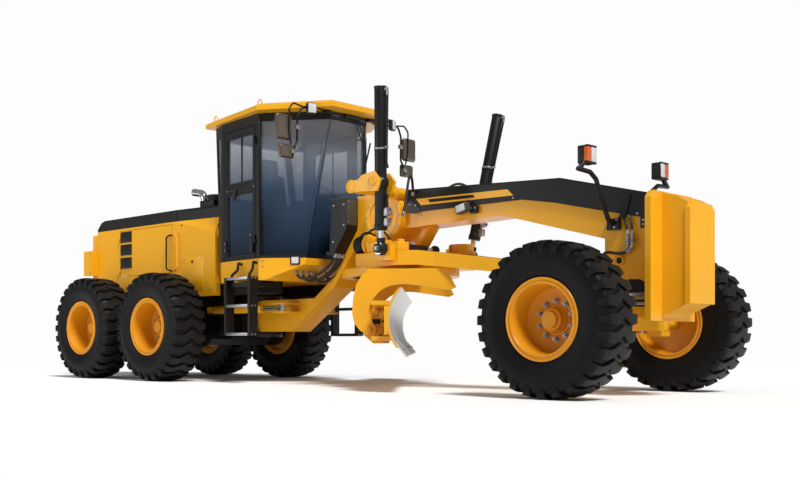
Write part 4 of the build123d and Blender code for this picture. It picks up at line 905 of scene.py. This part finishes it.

# Front leg: hoses down from under the cover to clamped plated unions, a ringed port, and the arched hand
# hole in the plate with the steering valve's block in it. The hole and the port's bore are not cut: thin
# black sheets on the plate stand for the shade inside them, as painted shade.
for name, side in sides:
    for count, path in enumerate(([(6.62, 1.625, 0.180), (6.67, 1.575, 0.192), (6.686, 1.46, 0.20)],
                                  [(6.68, 1.625, 0.180), (6.726, 1.57, 0.192), (6.733, 1.455, 0.20)])):
        hose(f"leg_feed_hose_{name}_{count + 1}", [at(s, side * y, z) for s, z, y in path], 0.011, "front")
    hose(f"leg_long_hose_{name}", [at(s, side * y, z) for s, z, y in (
        (6.70, 1.315, 0.188), (6.67, 1.285, 0.194), (6.58, 1.283, 0.205), (6.50, 1.305, 0.21),
        (6.43, 1.285, 0.20), (6.40, 1.22, 0.16))], 0.014, "front")
    shape = bmesh.new()
    for s in (6.687, 6.733):
        for low, high, radius in ((1.345, 1.475, 0.0125), (1.36, 1.385, 0.018), (1.40, 1.425, 0.018),
                                  (1.44, 1.465, 0.018)):
            drum(shape, *run(side, (s, 0.20, low), (s, 0.20, high)), radius, 0.003, 18)
        pipe(shape, run(side, (s, 0.20, 1.35), (s - 0.004, 0.20, 1.335), (s - 0.022, 0.20, 1.315)), 0.014, 0.01)
    side_slab(shape, side, (6.645, 0.171, 1.388), (6.775, 0.215, 1.396), 0.003)
    make(f"leg_unions_{name}", shape, zinc, "front")
    shape = bmesh.new()
    spun(shape, [(0.030, 0.171), (0.030, 0.186), (0.035, 0.190), (0.043, 0.190), (0.047, 0.186),
                 (0.047, 0.171)], 32)
    move(shape, side, 6.592, 0, 1.222)
    make(f"leg_port_ring_{name}", shape, amber, "front", 35)
    # Painted shade: a black disc in the port ring and a black arched sheet stand for the dark inside the bore
    # and the hand hole.
    shape = bmesh.new()
    drum(shape, *run(side, (6.592, 0.170, 1.222), (6.592, 0.174, 1.222)), 0.031, 0.001, 32)
    side_plate(shape, [(6.60, 0.80), (6.88, 0.80), (6.88, 0.95), (6.85, 1.01), (6.79, 1.045), (6.69, 1.05),
                       (6.62, 1.02), (6.60, 0.95)], side, 0.1705, 0.002)
    make(f"leg_hole_shade_{name}", shape, black, "front", 30)
    shape = bmesh.new()
    side_slab(shape, side, (6.66, 0.171, 0.86), (6.865, 0.205, 0.925), 0.008)
    pipe(shape, run(side, (6.66, 0.19, 0.83), (6.87, 0.19, 0.83)), 0.016)
    make(f"leg_valve_block_{name}", shape, zinc, "front")

# Headlamps: a moulded housing on the post's end, with an amber outer lens that wraps its corner and a
# clear inner lens in a thin bezel.
for name, side in sides:
    for kind, y0, y1, x0, paint in (("amber", 0.655, 0.7225, 6.545, amber_lens),
                                    ("clear", 0.572, 0.652, 6.575, clear_lens)):
        shape = bmesh.new()
        side_slab(shape, side, (x0, y0, 2.056), (6.603, y1, 2.190), 0.014, 3)
        make(f"headlamp_{kind}_{name}", shape, paint, "front")
    shape = bmesh.new()
    side_slab(shape, side, (6.493, 0.565, 2.040), (6.580, 0.727, 2.205), 0.026, 4)
    for z in (2.048, 2.198):
        side_slab(shape, side, (6.575, 0.565 + 0.006, z - 0.006), (6.602, 0.727 - 0.006, z + 0.006), 0.003)
    make(f"headlamp_housing_{name}", shape, moulded, "front")
    bolts(f"headlamp_bolt_{name}", run(side, (6.55, 0.775, 2.014)), (0, 0, 1), 0.009, "front")

# Nose: the turned head of the tow pin, and six large plated bolts that hold the cast counterweight to
# the leg.
shape = bmesh.new()
drum(shape, at(7.20, 0, 1.69), at(7.20, 0, 1.735), 0.030, 0.006)
make("nose_fittings", shape, amber, "front")
bolts("nose_bolts", [at(6.953, side * 0.32, z) for side in (-1, 1) for z in (0.85, 1.15, 1.45)],
      (-1, 0, 0), 0.018, "front")

# Front axle: turned steel caps over the kingpins, each held by four plated bolts, and a collar on each
# side behind the beam.
shape = bmesh.new()
for side in (-1, 1):
    drum(shape, *run(side, (6.5, 0.76, 0.805), (6.5, 0.76, 0.822)), 0.060, 0.006, 32)
    drum(shape, *run(side, (6.3, 0.262, 0.60), (6.3, 0.285, 0.60)), 0.061, 0.004, 32)
make("axle_caps", shape, amber, "front")
bolts("axle_bolts", [(x_at(6.5) + 0.042 * cos(t), side * 0.76 + 0.042 * sin(t), 0.822) for side in (-1, 1)
                     for t in (0.8, 2.4, 3.9, 5.5)], (0, 0, 1), 0.008, "front")

# Drawbar: gusset boxes round the rod ears, the side-shift cylinder lying across it, the bolted drive
# housing on its far side, and the turning motor with its ribbed black brake at the near rear corner.
for name, side in sides:
    shape = bmesh.new()
    side_slab(shape, side, (4.06, 0.46, 1.425), (4.34, 0.63, 1.530), 0.02, 3)
    for station in (4.11, 4.29):
        drum(shape, at(station, side * 0.545, 1.52), at(station, side * 0.545, 1.556), 0.042, 0.006)
    make(f"ear_box_{name}", shape, amber, "drawbar")
shape = bmesh.new()
shift_station, shift_z = 4.25, 1.475
for y0, y1, radius, ease in ((-0.40, -0.10, 0.042, 0.008), (-0.44, -0.38, 0.055, 0.012),
                             (0.03, 0.085, 0.050, 0.012)):
    drum(shape, at(shift_station, y0, shift_z), at(shift_station, y1, shift_z), radius, ease, 32)
slab(shape, at(4.205, -0.43, 1.425), at(4.295, -0.39, 1.465), 0.008)
slab(shape, at(4.21, 0.035, 1.425), at(4.29, 0.080, 1.47), 0.008)
make("side_shift_cylinder", shape, black, "drawbar")
shape = bmesh.new()
drum(shape, at(shift_station, -0.10, shift_z), at(shift_station, 0.035, shift_z), 0.024, 0.003, 24)
make("side_shift_rod", shape, chrome, "drawbar")
shape = bmesh.new()
motor_y, motor_z = -0.50, 1.530
motor_rings = [(3.645 + 0.028 * count, 3.645 + 0.028 * count + 0.018, 0.100 - 0.003 * abs(count - 2), 0.004)
               for count in range(5)]
for start, end, radius, ease in motor_rings + [(3.63, 3.80, 0.080, 0.01)]:
    drum(shape, at(start, motor_y, motor_z), at(end, motor_y, motor_z), radius, ease, 40)
make("turning_motor", shape, moulded, "drawbar", 35)
shape = bmesh.new()
for start, end, radius, ease in ((3.790, 3.820, 0.112, 0.008), (3.815, 3.880, 0.088, 0.010)):
    drum(shape, at(start, motor_y, motor_z), at(end, motor_y, motor_z), radius, ease, 40)
slab(shape, at(3.82, -0.58, 1.425), at(4.055, -0.36, 1.560), 0.03, None, 3)
drum(shape, at(3.94, -0.47, 1.550), at(3.94, -0.47, 1.590), 0.060, 0.010, 32)
make("turning_gearbox", shape, amber, "drawbar", 35)
shape = bmesh.new()
spun(shape, [(0.0, 1.425), (0.150, 1.425), (0.156, 1.431), (0.156, 1.449), (0.150, 1.455), (0.138, 1.457),
             (0.134, 1.463), (0.134, 1.532), (0.126, 1.541), (0.0, 1.543)], 56)
y_and_z_swapped = Matrix(((1, 0, 0, 0), (0, 0, 1, 0), (0, 1, 0, 0), (0, 0, 0, 1)))
bmesh.ops.transform(shape, matrix=Matrix.Translation(at(4.40, 0.32, 0)) @ y_and_z_swapped, verts=shape.verts)
make("swing_housing", shape, amber, "drawbar", 35)
bolts("swing_housing_bolts", [(x_at(4.40) + 0.145 * cos(t * pi / 5), 0.32 + 0.145 * sin(t * pi / 5), 1.455)
                              for t in range(10)], (0, 0, 1), 0.010, "drawbar")

# Side-shift link: a thick flat steel arm in amber enamel under the saddle, leaning down towards the
# drawbar.
shape = bmesh.new()
link_turn = Matrix.Translation(at(4.185, 0, 1.635)) @ Matrix.Rotation(radians(36), 4, "Y")
slab(shape, (-0.045, -0.085, -0.135), (0.045, 0.085, 0.135), 0.015, link_turn, 3)
make("side_shift_link", shape, amber, "front")

# Circle: sixty gear teeth cut into its inner edge, bare of paint and as dull as cast iron. One is made and
# spun round.
shape = bmesh.new()
slab(shape, (0.506, -0.013, 1.200), (0.534, 0.013, 1.270), 0.004, None, 1)
tooth_count = 60
bmesh.ops.spin(shape, geom=shape.verts[:] + shape.edges[:] + shape.faces[:], cent=(0, 0, 0), axis=(0, 0, 1),
               dvec=(0, 0, 0), angle=2 * pi * (tooth_count - 1) / tooth_count, steps=tooth_count - 1,
               use_merge=False, use_duplicate=True)
bmesh.ops.translate(shape, vec=at(3.8, 0, 0), verts=shape.verts)
make("circle_teeth", shape, iron, "circle", 30)

# Blade: a scoured steel wear face on the board's hollow side, plough bolts, and rib plates on its back.
# Along the blade, ahead of its face and up are turned into the machine's own axes by one matrix.
blade_turn = radians(39.4)
blade_frame = Matrix(((sin(blade_turn), cos(blade_turn), 0, x_at(3.8)),
                      (-cos(blade_turn), sin(blade_turn), 0, 0), (0, 0, 1, 0), (0, 0, 0, 1)))


def by_blade(along, ahead, z):
    """A point in the machine's axes from its place along the blade, ahead of it and up."""
    return blade_frame @ Vector((along, ahead, z))


scour, tree, shader = material("soil_scoured_steel", Metallic=0.75)
place = add(tree, "ShaderNodeTexCoord").outputs["Object"]
stretch = add(tree, "ShaderNodeMapping", Vector=place, Rotation=(0, 0, radians(50.6)), Scale=(1, 30, 2))
lines = add(tree, "ShaderNodeTexNoise", Vector=stretch.outputs[0], Scale=7.0, Detail=9.0, Roughness=0.7)
tone = add(tree, "ShaderNodeValToRGB", Fac=lines.outputs["Fac"])
tone.color_ramp.elements[0].color = linear("#B9B5B0")
tone.color_ramp.elements[1].color = linear("#F1F0EE")
gloss = add(tree, "ShaderNodeMapRange", Value=lines.outputs["Fac"], To_Min=0.25, To_Max=0.5)
plug(shader, Base_Color=tone.outputs["Color"], Roughness=gloss.outputs[0])
finish_node("cutting_edge", scour, 0.002)

shape = bmesh.new()
left_end, curve_ahead, curve_z = -1.858, 0.3882, 0.6981
lip = [shape.verts.new((left_end, curve_ahead - 0.3062 * radius / 0.43, curve_z + 0.3019 * radius / 0.43))
       for radius in (0.4292, 0.4228)]
bmesh.ops.spin(shape, geom=lip + [shape.edges.new(lip)], cent=(left_end, curve_ahead, curve_z), axis=(1, 0, 0),
               dvec=(0, 0, 0), angle=radians(83.0), steps=28, use_merge=False, use_duplicate=False)
grown = bmesh.ops.extrude_face_region(shape, geom=shape.faces[:], use_keep_orig=True)["geom"]
bmesh.ops.translate(shape, vec=(3.656, 0, 0), verts=[g for g in grown if isinstance(g, bmesh.types.BMVert)])
bmesh.ops.transform(shape, matrix=blade_frame, verts=shape.verts)
make("blade_wear_face", shape, scour, "blade", 30)

shape = bmesh.new()
bolt_pitch = 0.1572
for count in range(23):
    foot = Vector((-1.78 + count * bolt_pitch, 0.079, 0.418))
    out = Vector((0, 0.7818, 0.6235))
    drum(shape, blade_frame @ (foot + out * 0.004), blade_frame @ (foot + out * 0.0135), 0.015, 0.003, 14)
make("plough_bolts", shape, zinc, "blade")

shape = bmesh.new()
for along in (-1.852, -1.30, -0.40, 0.40, 1.15, 1.790):
    slab(shape, (along - 0.008, -0.085, 0.555), (along + 0.008, -0.050, 0.825), 0.003, blade_frame)
make("blade_back_ribs", shape, amber, "blade")

# Tilt frame: the black barrel of the blade's shift cylinder along its back, turned bosses and bolted black
# blocks on its castings, and caps on the pins that join it to the circle's arms.
shape = bmesh.new()
drum(shape, by_blade(-0.62, -0.27, 0.80), by_blade(0.35, -0.27, 0.80), 0.040, 0.006, 28)
make("shift_cylinder", shape, black, "tilt_frame")
castings, blocks, caps = bmesh.new(), bmesh.new(), bmesh.new()
for side in (-1, 1):
    for start, end, ahead, z, radius, ease in (
            (0.764, 0.792, -0.205, 0.690, 0.105, 0.010), (0.764, 0.815, -0.180, 0.600, 0.040, 0.008),
            (0.764, 0.812, -0.225, 0.800, 0.034, 0.008), (0.764, 0.800, -0.150, 0.775, 0.046, 0.008)):
        drum(castings, by_blade(side * start, ahead, z), by_blade(side * end, ahead, z), radius, ease, 32)
    ends = sorted((side * 0.788, side * 0.812))
    slab(blocks, (ends[0], -0.255, 0.672), (ends[1], -0.175, 0.722), 0.006, blade_frame)
    drum(blocks, by_blade(side * 0.79, -0.14, 0.70), by_blade(side * 0.806, -0.14, 0.70), 0.018, 0.003, 6)
    drum(caps, by_blade(side * 0.869, -0.30, 0.60), by_blade(side * 0.898, -0.30, 0.60), 0.046, 0.008, 36)
make("tilt_castings", castings, amber, "tilt_frame")
make("tilt_blocks", blocks, black, "tilt_frame")
make("arm_pin_caps", caps, amber, "circle")

# Hoses: a bundle under the neck that crosses the frame's hinge, a loop over the saddle to each lift
# cylinder, and short ones to the turning motor and the shift cylinder. Each is screwed on by its fittings.
for count, (y, sag) in enumerate(((-0.30, 0.0), (-0.24, 0.03), (-0.18, 0.01), (-0.12, 0.035), (0.0, 0.0),
                                  (0.14, 0.02))):
    hose(f"neck_hose_{count + 1}", [at(3.10, y, 1.485), at(3.08, y * 1.05, 1.43),
                                    at(3.00, y * 1.15, 1.33 - sag), at(2.86, y * 1.35, 1.235 - sag),
                                    at(2.72, y * 1.5, 1.215 - sag), at(2.635, y * 1.6, 1.245 - sag / 2),
                                    at(2.625, y * 1.6, 1.305)], 0.017, "front", "rear")
for name, side in sides:
    hose(f"lift_hose_{name}", run(side, (4.17, 0.21, 2.06), (4.24, 0.30, 2.20), (4.33, 0.44, 2.24),
                                  (4.40, 0.56, 2.12), (4.43, 0.62, 1.92), (4.42, 0.66, 1.78)), 0.014, "front")
hose("motor_hose_1", [at(3.92, -0.24, 1.445), at(3.91, -0.26, 1.58), at(3.85, -0.34, 1.70),
                      at(3.76, -0.42, 1.72), at(3.70, -0.47, 1.625)], 0.012, "drawbar")
hose("motor_hose_2", [at(3.82, -0.26, 1.445), at(3.80, -0.30, 1.56), at(3.74, -0.38, 1.67),
                      at(3.65, -0.44, 1.68), at(3.62, -0.48, 1.60)], 0.012, "drawbar")
hose("shift_hose", [at(3.98, -0.20, 1.445), at(4.00, -0.22, 1.55), at(4.07, -0.28, 1.60),
                    at(4.16, -0.33, 1.58), at(4.22, -0.35, 1.52)], 0.010, "drawbar")
